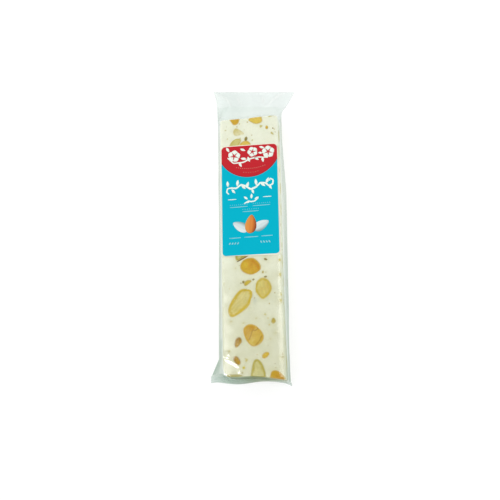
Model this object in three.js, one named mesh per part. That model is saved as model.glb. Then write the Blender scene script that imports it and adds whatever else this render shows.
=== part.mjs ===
// A nougat bar sealed in a clear flow-wrapped film, with a paper label stuck on its front.
//
// Millimetres. +Z is up, out of the labelled front; the pack lies on its back at z = 0.
// +X is across the bar and +Y runs along it, towards the end where the film is loose.
// The film and the bar that it holds tight are one closed solid; the label is a second one.

import * as THREE from 'three';

// ---- Driving dimensions -------------------------------------------------------------------

const bar = {
  length: 146.8, // along Y
  width: 33, // along X
  height: 13, // along Z
  x: -0.55, // where its middle stands, measured from the middle of the whole pack
  y: -8.41,
  lowerEndSlope: -0.066, // the lower end is cut askew: its y falls to the right
  lowerLeftRound: 3.2, // its left corner is rubbed round over this width
  lowerLeftLoss: 1.45, // and has lost this much at the tip
  edgeRound: 1.1, // the long edges are rounded over this width
  edgeLoss: 0.3,
  endLoss: 0.25, // the lower end's edge is rubbed a little lower
};

const film = {
  skin: 0.1, // clearance and film on each side of the bar
  sealThickness: 0.36, // two layers, crimped
  foldHeight: 6.3, // height of the line where the front and back sheets fold over
  frontBelly: 0.35, // how far the side slopes belly out past a straight line
  backBelly: 0.2,
  acrossTop: 0.7, // share of a sheet's width that lies on the bar
  foldTaper: 0.08, // a seal thins to nothing at its folds over this share of its half width
};

// How far the side fold stands from the bar's middle line, at places along the bar.
const sideReach = [
  { along: -53, left: 19.3, right: 18.9 },
  { along: -31, left: 19.0, right: 19.3 },
  { along: 26, left: 18.5, right: 19.7 },
  { along: 67, left: 18.6, right: 18.2 },
];

// The loose end: the film comes down from the bar to a flat crimped seal that flares out.
const upperSeal = {
  rootGap: 9.2, // from the bar's end to the seal
  length: 9.5,
  slope: -0.085, // the seal runs askew
  rootLeft: -19.6, rootRight: 20.2, // the ends of the seal's inner edge
  edgeLeft: -21.6, edgeRight: 25.4, // the ends of its free edge
  flareLeft: 1.6, flareRight: 0.75, // powers: over 1 the side flares late, under 1 early
  shoulderFlare: 1.6,
  rootHeight: 7.0, edgeHeight: 5.6,
  ripple: 0.4, rippleLength: 13, rippleLeft: 0.4, // the share of a ripple left at the edge
  creaseAtRoot: 0.6, creaseAtEdge: 0.9, // where the corners fold down, as columns of the sheet
  cornerDrop: 2.3, // how far the corners hang at the root; the free edge is flat
};

// The tight end: the seal is bent down over the bar's end, to the surface it lies on.
const lowerSeal = {
  rootGap: 0.8, // from the bar's end to the seal
  rootHeight: 7.9,
  cornerDrop: 3.2, cornerBend: 1.5, // the root runs lower at the two corners
  rootLeft: -24.6, rootRight: 19.7,
  edgeLeft: -25.4, edgeRight: 19.6,
  edgeHeight: 0.32,
  edgeY: -83.05, edgeSlope: -0.018, // the free edge is cut nearly square to the pack
  wave: 0.65, waveLength: 29, waveCrest: -10.5, // and hangs in waves, lowest at the crest
  tipLeft: 0.5, tipRight: 1.67, tipBend: 3, // its two tips hang lower still
  belly: 0.15,
  leanAtRoot: 0.35, leanAtEdge: 0.12, // radians from upright
  tentLength: 11.5, // where the side folds start to spread into the seal's corners
  tentLeft: -24.1, tentRight: 18.9, tentFoldHeight: 4.3, // the folds beside the bar's end
};

const label = {
  width: 32, length: 63.8, cornerRadius: 2.5, thickness: 0.16,
  x: -0.4, y: 16.64,
  gap: 0.3, // between the film and the back of the label
};

// How finely the sheets are divided.
const bodyStations = 14;
const tentStations = 4;
const shoulderStations = 5;
const sealStations = 7;
const flatColumns = 19;
const sideColumns = 7;
const edgeCrowding = 0.35; // how much closer the columns stand towards the bar's edges
const foldCrowding = 0.8;

// ---- Helpers ------------------------------------------------------------------------------

const mix = THREE.MathUtils.lerp;
const clamp01 = (value) => THREE.MathUtils.clamp(value, 0, 1);

const barTop = bar.height + 2 * film.skin;
const upperEnd = bar.y + bar.length / 2;

// The y of the bar's lower end at x: a straight cut askew, with its left corner rounded.
function lowerEndAt(x) {
  const corner = bar.x - bar.width / 2;
  const into = clamp01((corner + bar.lowerLeftRound - x) / bar.lowerLeftRound);
  const straight = bar.y - bar.length / 2 + bar.lowerEndSlope * (x - bar.x);
  return straight + bar.lowerLeftLoss * into * into;
}

// Reads one side of the reach table at a distance along the bar from its middle.
function reachAt(along, side) {
  const first = sideReach[0];
  const last = sideReach[sideReach.length - 1];
  if (along <= first.along) return first[side];
  if (along >= last.along) return last[side];
  const next = sideReach.findIndex((row) => row.along > along);
  const low = sideReach[next - 1];
  const high = sideReach[next];
  const share = THREE.MathUtils.smoothstep(along, low.along, high.along);
  return mix(low[side], high[side], share);
}

// Places across a sheet, from -1 at the left fold to 1 at the right one. The columns stand
// close together where the sheet rounds the bar's long edges.
function sheetColumns() {
  const columns = [];
  for (let i = 0; i < sideColumns; i += 1) {
    columns.push(mix(-1, -film.acrossTop, (i / sideColumns) ** foldCrowding));
  }
  for (let i = 0; i < flatColumns; i += 1) {
    const even = mix(-1, 1, i / (flatColumns - 1));
    const crowded = Math.sin((Math.PI / 2) * even);
    columns.push(film.acrossTop * mix(even, crowded, 1 - edgeCrowding));
  }
  for (let i = sideColumns - 1; i >= 0; i -= 1) {
    columns.push(mix(1, film.acrossTop, (i / sideColumns) ** foldCrowding));
  }
  return columns;
}

const columns = sheetColumns();

// How far out a column stands on the side slope: 0 on the bar's edge, 1 on the fold.
const outward = (s) => clamp01((Math.abs(s) - film.acrossTop) / (1 - film.acrossTop));

// ---- Sections of the film -----------------------------------------------------------------
// A section maps a column s to two points, one on the front sheet and one on the back sheet.

// Round the bar: flat over its faces, rounded at its edges, then sloping to the side folds.
function bodySection(along) {
  const left = bar.x - reachAt(along, 'left');
  const right = bar.x + reachAt(along, 'right');
  return roundTheBar(left, right, film.foldHeight, () => bar.y + along, 0);
}

// The bar's lower end, where the side folds have spread most of the way to the corners.
function lowerEndSection() {
  const { tentLeft, tentRight, tentFoldHeight } = lowerSeal;
  return roundTheBar(tentLeft, tentRight, tentFoldHeight, lowerEndAt, bar.endLoss);
}

function roundTheBar(left, right, foldHeight, yAt, topLoss) {
  return (s) => {
    const out = outward(s);
    const half = bar.width / 2;
    const flatX = bar.x + (half * s) / film.acrossTop;
    const edgeX = bar.x + Math.sign(s) * half;
    const x = out > 0 ? mix(edgeX, s < 0 ? left : right, out) : flatX;
    const belly = Math.sin(Math.PI * out);
    const fromEdge = half - Math.abs(flatX - bar.x);
    const round = out > 0 ? 1 : clamp01(1 - fromEdge / bar.edgeRound);
    const top = barTop - topLoss - bar.edgeLoss * round * round;
    const y = yAt(x);
    return {
      front: [x, y, mix(top, foldHeight, out) + film.frontBelly * belly],
      back: [x, y, mix(0, foldHeight, out) - film.backBelly * belly * out],
    };
  };
}

// Two sheets crimped together: a line of points with a film's thickness across it, which
// closes to nothing at the two folds.
function sealSection(centreAt, normal) {
  return (s) => {
    const centre = centreAt(s);
    const half = (film.sealThickness / 2) * clamp01((1 - Math.abs(s)) / film.foldTaper);
    return {
      front: centre.map((value, axis) => value + half * normal[axis]),
      back: centre.map((value, axis) => value - half * normal[axis]),
    };
  };
}

// Everything between two sections, by rulings from one to the other. The spread bends the
// rulings sideways, so that a fold can stay close to the bar before it runs out to a corner.
function between(first, second, share, spread = share) {
  const shares = [spread, share, share];
  const ruled = (from, to) => from.map((value, axis) => mix(value, to[axis], shares[axis]));
  return (s) => {
    const a = first(s);
    const b = second(s);
    return { front: ruled(a.front, b.front), back: ruled(a.back, b.back) };
  };
}

function upperSealSection(share) {
  const left = mix(upperSeal.rootLeft, upperSeal.edgeLeft, share ** upperSeal.flareLeft);
  const right = mix(upperSeal.rootRight, upperSeal.edgeRight, share ** upperSeal.flareRight);
  const middle = (upperSeal.edgeLeft + upperSeal.edgeRight) / 2;
  const crease = mix(upperSeal.creaseAtRoot, upperSeal.creaseAtEdge, share);
  return sealSection((s) => {
    const x = mix(left, right, (s + 1) / 2);
    const y = upperEnd + upperSeal.rootGap + upperSeal.length * share
      + upperSeal.slope * (x - middle);
    const wave = Math.cos((2 * Math.PI * (x - middle)) / upperSeal.rippleLength);
    const pastCrease = clamp01((Math.abs(s) - crease) / (1 - crease));
    const rippled = mix(1, upperSeal.rippleLeft, share) * (1 - pastCrease);
    const z = mix(upperSeal.rootHeight, upperSeal.edgeHeight, share)
      + upperSeal.ripple * rippled * wave
      - upperSeal.cornerDrop * (1 - share) * pastCrease;
    return [x, y, z];
  }, [0, 0, 1]);
}

function lowerSealSection(share) {
  const left = mix(lowerSeal.rootLeft, lowerSeal.edgeLeft, share);
  const right = mix(lowerSeal.rootRight, lowerSeal.edgeRight, share);
  const lean = mix(lowerSeal.leanAtRoot, lowerSeal.leanAtEdge, share);
  const normal = [0, -Math.cos(lean), Math.sin(lean)];
  return sealSection((s) => {
    const x = mix(left, right, (s + 1) / 2);
    const phase = (2 * Math.PI * (x - lowerSeal.waveCrest)) / lowerSeal.waveLength;
    const tip = (s < 0 ? lowerSeal.tipLeft : lowerSeal.tipRight) * outward(s) ** lowerSeal.tipBend;
    const edgeY = lowerSeal.edgeY + lowerSeal.edgeSlope * x - lowerSeal.wave * Math.cos(phase) - tip;
    const y = mix(lowerEndAt(x) - lowerSeal.rootGap, edgeY, share)
      - lowerSeal.belly * Math.sin(Math.PI * share);
    const cornerDrop = lowerSeal.cornerDrop * outward(s) ** lowerSeal.cornerBend;
    const rootHeight = lowerSeal.rootHeight - cornerDrop;
    return [x, y, mix(rootHeight, lowerSeal.edgeHeight, share)];
  }, normal);
}

// All the sections in order, from the lower free edge to the upper one.
function allSections() {
  const sections = [];
  const addBetween = (first, second, count, bend = 1) => {
    for (let i = 1; i < count; i += 1) {
      sections.push(between(first, second, i / count, (i / count) ** bend));
    }
  };

  for (let i = sealStations; i >= 0; i -= 1) {
    sections.push(lowerSealSection(i / sealStations));
  }
  const lowerEnd = lowerEndSection();
  addBetween(lowerSealSection(0), lowerEnd, 2);
  sections.push(lowerEnd);

  const lowest = -bar.length / 2 + lowerSeal.tentLength;
  const highest = bar.length / 2;
  addBetween(lowerEnd, bodySection(lowest), tentStations);
  for (let i = 0; i <= bodyStations; i += 1) {
    sections.push(bodySection(mix(lowest, highest, i / bodyStations)));
  }

  const root = upperSealSection(0);
  addBetween(bodySection(highest), root, shoulderStations, upperSeal.shoulderFlare);
  for (let i = 0; i <= sealStations; i += 1) {
    sections.push(upperSealSection(i / sealStations));
  }
  return sections;
}

// ---- Solids -------------------------------------------------------------------------------

// Skins the sections: the front sheet from fold to fold, then the back sheet the other way
// round, with a strip of quads across each free edge.
function filmGeometry() {
  const last = columns.length - 1;
  const ringSize = 2 * last;
  const positions = [];
  const rings = allSections();
  for (const section of rings) {
    for (let i = 0; i <= last; i += 1) positions.push(...section(columns[i]).front);
    for (let i = last - 1; i > 0; i -= 1) positions.push(...section(columns[i]).back);
  }

  const index = [];
  for (let ring = 0; ring + 1 < rings.length; ring += 1) {
    for (let i = 0; i < ringSize; i += 1) {
      const a = ring * ringSize + i;
      const b = ring * ringSize + ((i + 1) % ringSize);
      const c = b + ringSize;
      const d = a + ringSize;
      const onRight = Math.abs(i + 0.5 - last) < last / 2; // split in mirror image there
      index.push(...(onRight ? [a, b, d, b, c, d] : [a, b, c, a, c, d]));
    }
  }
  const closeEdge = (start, flip) => {
    for (let i = 0; i < last; i += 1) {
      const front = [start + i, start + i + 1];
      const back = [(ringSize - i) % ringSize, ringSize - i - 1].map((at) => start + at);
      const quad = i === 0
        ? [front[0], back[1], front[1]]
        : [front[0], back[0], front[1], back[0], back[1], front[1]];
      const closed = i === last - 1 ? quad.slice(0, 3) : quad;
      index.push(...(flip ? closed.reverse() : closed));
    }
  };
  closeEdge(0, false);
  closeEdge((rings.length - 1) * ringSize, true);

  const geometry = new THREE.BufferGeometry();
  geometry.setAttribute('position', new THREE.Float32BufferAttribute(positions, 3));
  geometry.setIndex(index);
  geometry.computeVertexNormals();
  return geometry;
}

// A rectangle with round corners, as thick as the paper.
function labelGeometry() {
  const { width, length, cornerRadius: r } = label;
  const shape = new THREE.Shape();
  const x = width / 2 - r;
  const y = length / 2 - r;
  shape.absarc(x, y, r, 0, Math.PI / 2);
  shape.absarc(-x, y, r, Math.PI / 2, Math.PI);
  shape.absarc(-x, -y, r, Math.PI, 1.5 * Math.PI);
  shape.absarc(x, -y, r, 1.5 * Math.PI, 2 * Math.PI);
  return new THREE.ExtrudeGeometry(shape, {
    depth: label.thickness,
    bevelEnabled: false,
    curveSegments: 8,
  });
}

// ---- Scene graph --------------------------------------------------------------------------

const pack = new THREE.Group();

const filmPack = new THREE.Mesh(
  filmGeometry(),
  new THREE.MeshStandardMaterial({ color: 0xe2e5d0, roughness: 0.25, metalness: 0 }),
);
filmPack.name = 'film_pack';
pack.add(filmPack);

const labelPlate = new THREE.Mesh(
  labelGeometry(),
  new THREE.MeshStandardMaterial({ color: 0x08b4d0, roughness: 0.45, metalness: 0 }),
);
labelPlate.name = 'label';
labelPlate.position.set(label.x, label.y, barTop + label.gap);
pack.add(labelPlate);

export default pack;
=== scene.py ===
# Nougat bar with almonds in a clear flow-wrapped film, with a paper label. Blender 4.5.
# Sizes in the dictionaries are millimetres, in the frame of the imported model, unless a note says otherwise.
import math
import bpy
import numpy as np
from mathutils import Matrix, Vector


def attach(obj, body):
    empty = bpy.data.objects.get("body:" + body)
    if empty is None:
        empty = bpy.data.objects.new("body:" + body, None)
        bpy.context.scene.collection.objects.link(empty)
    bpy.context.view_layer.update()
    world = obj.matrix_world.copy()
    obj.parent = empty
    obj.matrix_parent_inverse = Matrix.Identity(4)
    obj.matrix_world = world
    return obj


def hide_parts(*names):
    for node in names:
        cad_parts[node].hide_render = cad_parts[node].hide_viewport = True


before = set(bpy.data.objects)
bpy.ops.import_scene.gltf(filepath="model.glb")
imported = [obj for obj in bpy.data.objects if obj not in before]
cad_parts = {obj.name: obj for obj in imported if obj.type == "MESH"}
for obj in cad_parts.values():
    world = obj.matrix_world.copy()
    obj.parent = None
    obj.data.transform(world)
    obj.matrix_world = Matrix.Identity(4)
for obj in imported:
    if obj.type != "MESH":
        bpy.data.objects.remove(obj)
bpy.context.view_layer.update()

mm = 0.001
# starting numbers of the random draws. The hidden almonds and the crumbs draw from rng, in turn
seeds = dict(main=75, dent=3, grain=4, ovals=300, hiddenOvals=500, nuts=100, nutStep=7, slack=11,
             frontSides=12, backSides=13, printed=7, dots=1)
rng = np.random.default_rng(seeds["main"])
waveRange = (0.7, 1.5)        # shortest and longest of the waves that make up an unevenness, by its length


# helpers

def lerp(a, b, share):
    # straight mix of two values
    return a + (b - a) * share


def smooth(x, low=0.0, high=1.0):
    # 0 below low, 1 above high, 3t^2 - 2t^3 between
    t = np.clip((x - low) / (high - low), 0.0, 1.0)
    return t * t * (3 - 2 * t)


def stack(x, y, z):
    # three coordinates, each an array or one number, as one array of points
    return np.stack(np.broadcast_arrays(x, y, z), axis=-1).astype(float)


def waves(x, y, z, length, seed, count=14):
    # smooth unevenness of about -1 to 1: a sum of sines with random directions, wave lengths near `length`
    draw = np.random.default_rng(seed)
    total = np.zeros(np.broadcast(x, y, z).shape)
    for _ in range(count):
        way = draw.normal(size=3)
        way /= np.linalg.norm(way) * length * draw.uniform(*waveRange)
        total += np.sin(2 * np.pi * (x * way[0] + y * way[1] + z * way[2] + draw.random()))
    return total / math.sqrt(count)


def ridge(distance, width):
    # bell-shaped ridge across a distance
    return np.exp(-(distance / width) ** 2)


def smoothPath(points, samples=120, passes=6):
    # a soft curve along given points: evenly sampled, then averaged with its neighbours
    points = np.array(points, float)
    run = np.concatenate([[0], np.cumsum(np.linalg.norm(np.diff(points, axis=0), axis=1))])
    at = np.linspace(0, run[-1], samples)
    path = np.stack([np.interp(at, run, points[:, k]) for k in range(points.shape[1])], axis=-1)
    for _ in range(passes):
        path[1:-1] = (path[:-2] + 2 * path[1:-1] + path[2:]) / 4
    return path


def linear(code, alpha=1.0):
    # sRGB hex colour to linear RGBA
    channels = np.array([int(code[i:i + 2], 16) for i in (1, 3, 5)]) / 255
    out = np.where(channels <= 0.04045, channels / 12.92, ((channels + 0.055) / 1.055) ** 2.4)
    return (*out.tolist(), alpha)


def makePiece(name, points, faces, uv=None, attributes=None):
    # one mesh object at the origin from arrays in millimetres; faces is a list of equal-sided index arrays
    mesh = bpy.data.meshes.new(name)
    loops = np.concatenate([f.ravel() for f in faces])
    sides = np.concatenate([np.full(len(f), f.shape[1]) for f in faces])
    mesh.vertices.add(len(points))
    mesh.vertices.foreach_set("co", (points * mm).astype(np.float32).ravel())
    mesh.loops.add(len(loops))
    mesh.loops.foreach_set("vertex_index", loops.astype(np.int32))
    mesh.polygons.add(len(sides))
    mesh.polygons.foreach_set("loop_start", np.concatenate([[0], np.cumsum(sides)[:-1]]).astype(np.int32))
    mesh.polygons.foreach_set("use_smooth", np.ones(len(sides), bool))
    mesh.update(calc_edges=True)
    mesh.validate()
    if uv is not None:
        layer = mesh.uv_layers.new(name="shape")
        layer.data.foreach_set("uv", uv[loops].astype(np.float32).ravel())
    for key, values in (attributes or {}).items():
        if values.ndim == 2:
            layer = mesh.attributes.new(key, "FLOAT_COLOR", "POINT")
            layer.data.foreach_set("color", values.astype(np.float32).ravel())
        else:
            layer = mesh.attributes.new(key, "FLOAT", "POINT")
            layer.data.foreach_set("value", values.astype(np.float32))
    piece = bpy.data.objects.new(name, mesh)
    bpy.context.scene.collection.objects.link(piece)
    return piece


def skinSheets(front, back):
    # closed skin of two sheets of rows x columns that share their first and last columns
    rows, cols = front.shape[:2]
    around = 2 * (cols - 1)
    ring = np.concatenate([front, back[:, -2:0:-1]], axis=1)
    at = np.arange(rows * around).reshape(rows, around)
    a, b = at[:-1], np.roll(at, -1, axis=1)[:-1]
    c, d = np.roll(at, -1, axis=1)[1:], at[1:]
    quads = np.stack([a, b, c, d], axis=-1).reshape(-1, 4)
    lower, upper = at[0], at[-1]
    inner = np.arange(1, cols - 2)
    faces = [quads]
    for edge, turned in ((lower, False), (upper, True)):
        fold = np.array([[edge[0], edge[-1], edge[1]], [edge[cols - 2], edge[cols], edge[cols - 1]]])
        strip = np.stack([edge[inner], edge[-inner], edge[-inner - 1], edge[inner + 1]], axis=-1)
        faces += [f[:, ::-1] if turned else f for f in (fold, strip)]
    return ring.reshape(-1, 3), faces


def otherSideOut(faces):
    # the same faces looking the other way: the first corner stays and the rest run backwards
    return [np.roll(f[:, ::-1], 1, axis=1) for f in faces]


def skinRings(rings, firstPole, lastPole):
    # closed skin of rows of rings between two pole points. It looks out where rings that run to the left
    # are stacked from the bottom up, and has to be turned where they go from the top down
    rows, around = rings.shape[:2]
    at = np.arange(rows * around).reshape(rows, around)
    nextOne = np.roll(at, -1, axis=1)
    quads = np.stack([at[:-1], nextOne[:-1], nextOne[1:], at[1:]], axis=-1).reshape(-1, 4)
    first, last = rows * around, rows * around + 1
    capA = np.stack([nextOne[0], at[0], np.full(around, first)], axis=-1)
    capB = np.stack([at[-1], nextOne[-1], np.full(around, last)], axis=-1)
    points = np.concatenate([rings.reshape(-1, 3), [firstPole], [lastPole]])
    return points, [quads, np.concatenate([capA, capB])]


def gridNormals(points):
    # unit normals of a grid of points, by the cross product of its two directions
    alongRows = np.gradient(points, axis=0)
    alongCols = np.gradient(points, axis=1)
    normal = np.cross(alongCols, alongRows)
    return normal / np.maximum(np.linalg.norm(normal, axis=-1, keepdims=True), 1e-9)


def newMaterial(name):
    material = bpy.data.materials.new(name)
    material.use_nodes = True
    material.node_tree.nodes.clear()
    return material


mixColours = {"data_type": "RGBA"}
multiplyColours = {"data_type": "RGBA", "blend_type": "MULTIPLY"}
softRange = {"interpolation_type": "SMOOTHSTEP"}
product = {"operation": "MULTIPLY"}
productSum = {"operation": "MULTIPLY_ADD"}


def addNode(material, kind, settings=None, inputs=None, **links):
    # adds a shader node: settings on it, plain values on inputs, and links given as socket=(node, output),
    # where _ stands for a space in a socket's name, and _0 for socket number 0
    node = material.node_tree.nodes.new("ShaderNode" + kind)
    for key, value in (settings or {}).items():
        setattr(node, key, value)
    for key, value in (inputs or {}).items():
        node.inputs[key].default_value = value
    for key, (source, output) in links.items():
        socket = node.inputs[int(key[1:])] if key[0] == "_" else node.inputs[key.replace("_", " ")]
        material.node_tree.links.new(source.outputs[output], socket)
    return node


# camera: above the label, a little to the right of it and nearer its lower end

view = dict(
    target=(-0.92, -12.27, 13.0), distance=495.0,
    tiltRight=8.07, tiltDown=14.45, roll=-1.08,       # degrees
    lens=65.34, sensor=36, clipStart=0.01, clipEnd=20,    # lens and sensor in mm, clipping in metres
)


def makeCamera():
    # away is the unit way from the target to the camera, tilted from straight up by the two angles
    sideways = math.sin(math.radians(view["tiltRight"]))
    down = -math.sin(math.radians(view["tiltDown"]))
    away = Vector((sideways, down, math.sqrt(1 - sideways ** 2 - down ** 2)))
    right = Vector((0, 1, 0)).cross(away).normalized()
    up = away.cross(right)
    turn = math.radians(view["roll"])
    turnedRight = right * math.cos(turn) + up * math.sin(turn)
    turnedUp = up * math.cos(turn) - right * math.sin(turn)
    camera = bpy.data.objects.new("camera", bpy.data.cameras.new("camera"))
    bpy.context.scene.collection.objects.link(camera)
    place = (Vector(view["target"]) + away * view["distance"]) * mm
    turned = Matrix((turnedRight, turnedUp, away)).transposed().to_4x4()
    camera.matrix_world = Matrix.Translation(place) @ turned
    camera.data.lens = view["lens"]
    camera.data.sensor_width = view["sensor"]
    camera.data.clip_start = view["clipStart"]
    camera.data.clip_end = view["clipEnd"]
    bpy.context.scene.camera = camera


makeCamera()

# light: a bright white tent with two strips that the film's long edges mirror

studio = dict(                                 # metres
    tent=1.02, opening=0.3,                    # brightness of the white tent, and of its opening above
    openingWay=(-0.15, 0.26, 0.95),
    openingEdge=(0.86, 0.96),                  # cosines where the opening starts and is full
    floorHalf=3.0, floorPoints=9,
    floorWhite="#A8A8A8", floorGlow=0.66,      # a back-lit white sheet
    frosting=900, frostingDepth=0.0002,        # grains to a metre, and their depth
    aim=(0, -0.03, 0.013),
    # name, way from the aim, distance, width, length, radiance, and whether it only shows as a highlight
    lamps=[
        ("backSoftbox", (-0.55, 0.75, 0.5), 1.6, 1.0, 0.7, 1.4, False),
        ("leftStrip", (-0.38, 0.08, 0.92), 0.9, 0.17, 0.36, 2.75, False),
        ("rightStrip", (0.225, 0.13, 0.955), 0.9, 0.15, 0.30, 2.9, False),
        ("lowLeftLamp", (-0.476, -0.18, 0.850), 0.8, 0.28, 0.28, 24.0, True),
    ],
)


def makeWorld():
    # an even white tent; towards its opening above, by the cosine to the opening's way, it is darker
    world = bpy.data.worlds.new("whiteTent")
    world.use_nodes = True
    background = world.node_tree.nodes["Background"]
    where = addNode(world, "TexCoord")
    way = Vector(studio["openingWay"]).normalized()
    towards = addNode(world, "VectorMath", {"operation": "DOT_PRODUCT"}, {1: way}, _0=(where, "Generated"))
    low, high = studio["openingEdge"]
    level = addNode(world, "MapRange", softRange, {"From Min": low, "From Max": high,
                    "To Min": studio["tent"], "To Max": studio["opening"]}, Value=(towards, "Value"))
    background.inputs["Color"].default_value = (1, 1, 1, 1)
    world.node_tree.links.new(level.outputs["Result"], background.inputs["Strength"])
    bpy.context.scene.world = world


def makeLamps():
    for name, way, distance, width, length, radiance, highlightOnly in studio["lamps"]:
        # a flat lamp's power is pi times its radiance times its area
        lamp = bpy.data.lights.new(name, "AREA")
        lamp.shape = "RECTANGLE"
        lamp.size = width
        lamp.size_y = length
        lamp.energy = math.pi * radiance * width * length
        holder = bpy.data.objects.new(name, lamp)
        bpy.context.scene.collection.objects.link(holder)
        holder.location = Vector(studio["aim"]) + Vector(way).normalized() * distance
        holder.rotation_euler = Vector(way).to_track_quat("Z", "Y").to_matrix().to_euler()
        holder.visible_diffuse = not highlightOnly


def makeFloor():
    # a flat grid of quads
    half, count = studio["floorHalf"] / mm, studio["floorPoints"]
    side = np.linspace(-half, half, count)
    x, y = np.meshgrid(side, side)
    at = np.arange(count ** 2).reshape(count, count)
    quads = np.stack([at[:-1, :-1], at[:-1, 1:], at[1:, 1:], at[1:, :-1]], axis=-1).reshape(-1, 4)
    floor = makePiece("floor", stack(x, y, 0.0).reshape(-1, 3), [quads])
    # matt opal acrylic lit from below: a plain white ground
    sheet = newMaterial("opalAcrylicSheet")
    where = addNode(sheet, "TexCoord")
    frosting = addNode(sheet, "TexNoise", inputs={"Scale": studio["frosting"]}, Vector=(where, "Object"))
    bump = addNode(sheet, "Bump", inputs={"Strength": 0.02, "Distance": studio["frostingDepth"]},
                   Height=(frosting, "Fac"))
    shader = addNode(sheet, "BsdfPrincipled",
                     inputs={"Base Color": linear(studio["floorWhite"]), "Roughness": 0.9,
                             "Specular IOR Level": 0.1, "Emission Color": (1, 1, 1, 1),
                             "Emission Strength": studio["floorGlow"]}, Normal=(bump, "Normal"))
    addNode(sheet, "OutputMaterial", Surface=(shader, "BSDF"))
    floor.data.materials.append(sheet)


bpy.context.scene.view_settings.view_transform = "Standard"
makeWorld()
makeLamps()
makeFloor()
print("studio done")

# the bar's block: a box with rounded edges, cut askew at its lower end

bar = dict(
    x=-0.55, y=-8.31, length=146.8, width=32.8, bottom=0.35, top=12.95,
    lowerEndSlope=-0.066, endRun=30,           # the askew cut is felt this far up the bar
    lowerLeftRound=3.2, lowerLeftLoss=1.45,    # the film's corner
    cornerRound=3.6, cornerLoss=4.0,           # the nougat's own corner, more worn
    lowerEndHollow=(0.2, 6.5, 0.75),           # the cut's wave: place, width, depth
    lowerRightDrop=(8, 17, 0.5),               # from x, to x, depth
    lowerRightFlare=0.7, flareAcross=(0, 15), flareDown=(25, 78),
    upperEndRise=(-8, 14, 0.6),                # the upper cut climbs to the right: from x, to x, height
    riseFrom=20, riseKept=1, riseGone=9,       # it starts below the end, and is gone at the seal's root
    edgeRadius=1.1, crown=0.65, crownPower=8,  # the front falls away towards its long edges
)
barHalf = np.array([bar["width"] / 2, bar["length"] / 2, (bar["top"] - bar["bottom"]) / 2])
barMiddle = np.array([bar["x"], bar["y"], (bar["top"] + bar["bottom"]) / 2])
filmLowerEnd = bar["y"] - barHalf[1]
filmUpperEnd = bar["y"] + barHalf[1]


def lowerEndAt(x):
    # y of the lower end: an askew cut, hollow in its middle, with a rounded left corner and a low right one
    left = bar["x"] - bar["width"] / 2
    into = np.clip((left + bar["lowerLeftRound"] - x) / bar["lowerLeftRound"], 0, 1)
    straight = bar["y"] - bar["length"] / 2 + bar["lowerEndSlope"] * (x - bar["x"])
    middle, wide, hollow = bar["lowerEndHollow"]
    start, full, drop = bar["lowerRightDrop"]
    return (straight + bar["lowerLeftLoss"] * into ** 2 + hollow * ridge(x - middle, wide)
            - drop * smooth(x, start, full))


def flareAt(x, y):
    # the lower right side bulges a little: a smooth step across times one down the bar
    return bar["lowerRightFlare"] * smooth(x, *bar["flareAcross"]) * smooth(-y, *bar["flareDown"])


def upperRise(x, y):
    # how far the upper end is pulled up: a smooth step across, times one up to the end, times one back
    # down past it
    start, full, rise = bar["upperEndRise"]
    return (rise * smooth(x, start, full) * smooth(y, filmUpperEnd - bar["riseFrom"], filmUpperEnd)
            * smooth(-y, -(filmUpperEnd + bar["riseGone"]), -(filmUpperEnd + bar["riseKept"])))


def nougatEndAt(x):
    # y of the nougat's lower end: the film's, with the left corner worn to a quarter ellipse
    into = np.clip((bar["x"] - bar["width"] / 2 + bar["cornerRound"] - x) / bar["cornerRound"], 0, 1)
    return lowerEndAt(x) + bar["cornerLoss"] * (1 - np.sqrt(1 - into ** 2)) * (into > 0)


def shapeBar(points, proud=0.0):
    # takes points of a straight box, middle at 0, to the real bar: what lies outside the rounded box is
    # pressed onto it, the front is crowned and the lower end is moved to its askew cut
    radius = bar["edgeRadius"]
    inner = np.clip(points, -(barHalf - radius), barHalf - radius)
    out = points - inner
    reach = np.linalg.norm(out, axis=-1, keepdims=True)
    points = inner + out * np.minimum(1.0, (radius + proud) / np.maximum(reach, 1e-9))
    x, y, z = np.moveaxis(points, -1, 0)
    crown = bar["crown"] * np.abs(x / barHalf[0]) ** bar["crownPower"] * smooth(z, 0, barHalf[2])
    worldX = x + barMiddle[0]
    shift = nougatEndAt(worldX) - (barMiddle[1] - barHalf[1])
    y = y + shift * smooth(-y, barHalf[1] - bar["endRun"], barHalf[1]) + barMiddle[1]
    return stack(worldX + flareAt(worldX, y), y + upperRise(worldX, y), z - crown + barMiddle[2])


nougat = dict(
    rowStep=0.7, capRings=9, capLeast=0.08, roundRings=6,
    quarterPoints=7, frontPoints=36, sidePoints=15,    # of the outline: a corner, a front and a side
    dent=0.03, dentLength=7.0, dentBias=0.6, grain=0.022, grainLength=1.3, proudest=0.02,
)


def barOutline(wide, high):
    # a rounded rectangle as corner centres and ways out from them, sampled evenly by its length: a quarter
    # circle at each corner, then a straight run to the next
    quarter = np.linspace(0, np.pi / 2, nougat["quarterPoints"])
    runX = np.linspace(0, 1, nougat["frontPoints"])[1:-1]
    runZ = np.linspace(0, 1, nougat["sidePoints"])[1:-1]
    corners = [(wide, high), (-wide, high), (-wide, -high), (wide, -high)]
    centres, ways = [], []
    for k, (here, run) in enumerate(zip(corners, (runX, runZ, runX, runZ))):
        angle = quarter + k * np.pi / 2
        following = corners[(k + 1) % 4]
        centres.append(np.tile(here, (len(quarter), 1)))
        centres.append(np.stack([lerp(a, b, run) for a, b in zip(here, following)], -1))
        ways.append(np.stack([np.cos(angle), np.sin(angle)], -1))
        ways.append(np.tile(ways[-1][-1], (len(run), 1)))
    return np.concatenate(centres), np.concatenate(ways)


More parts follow.
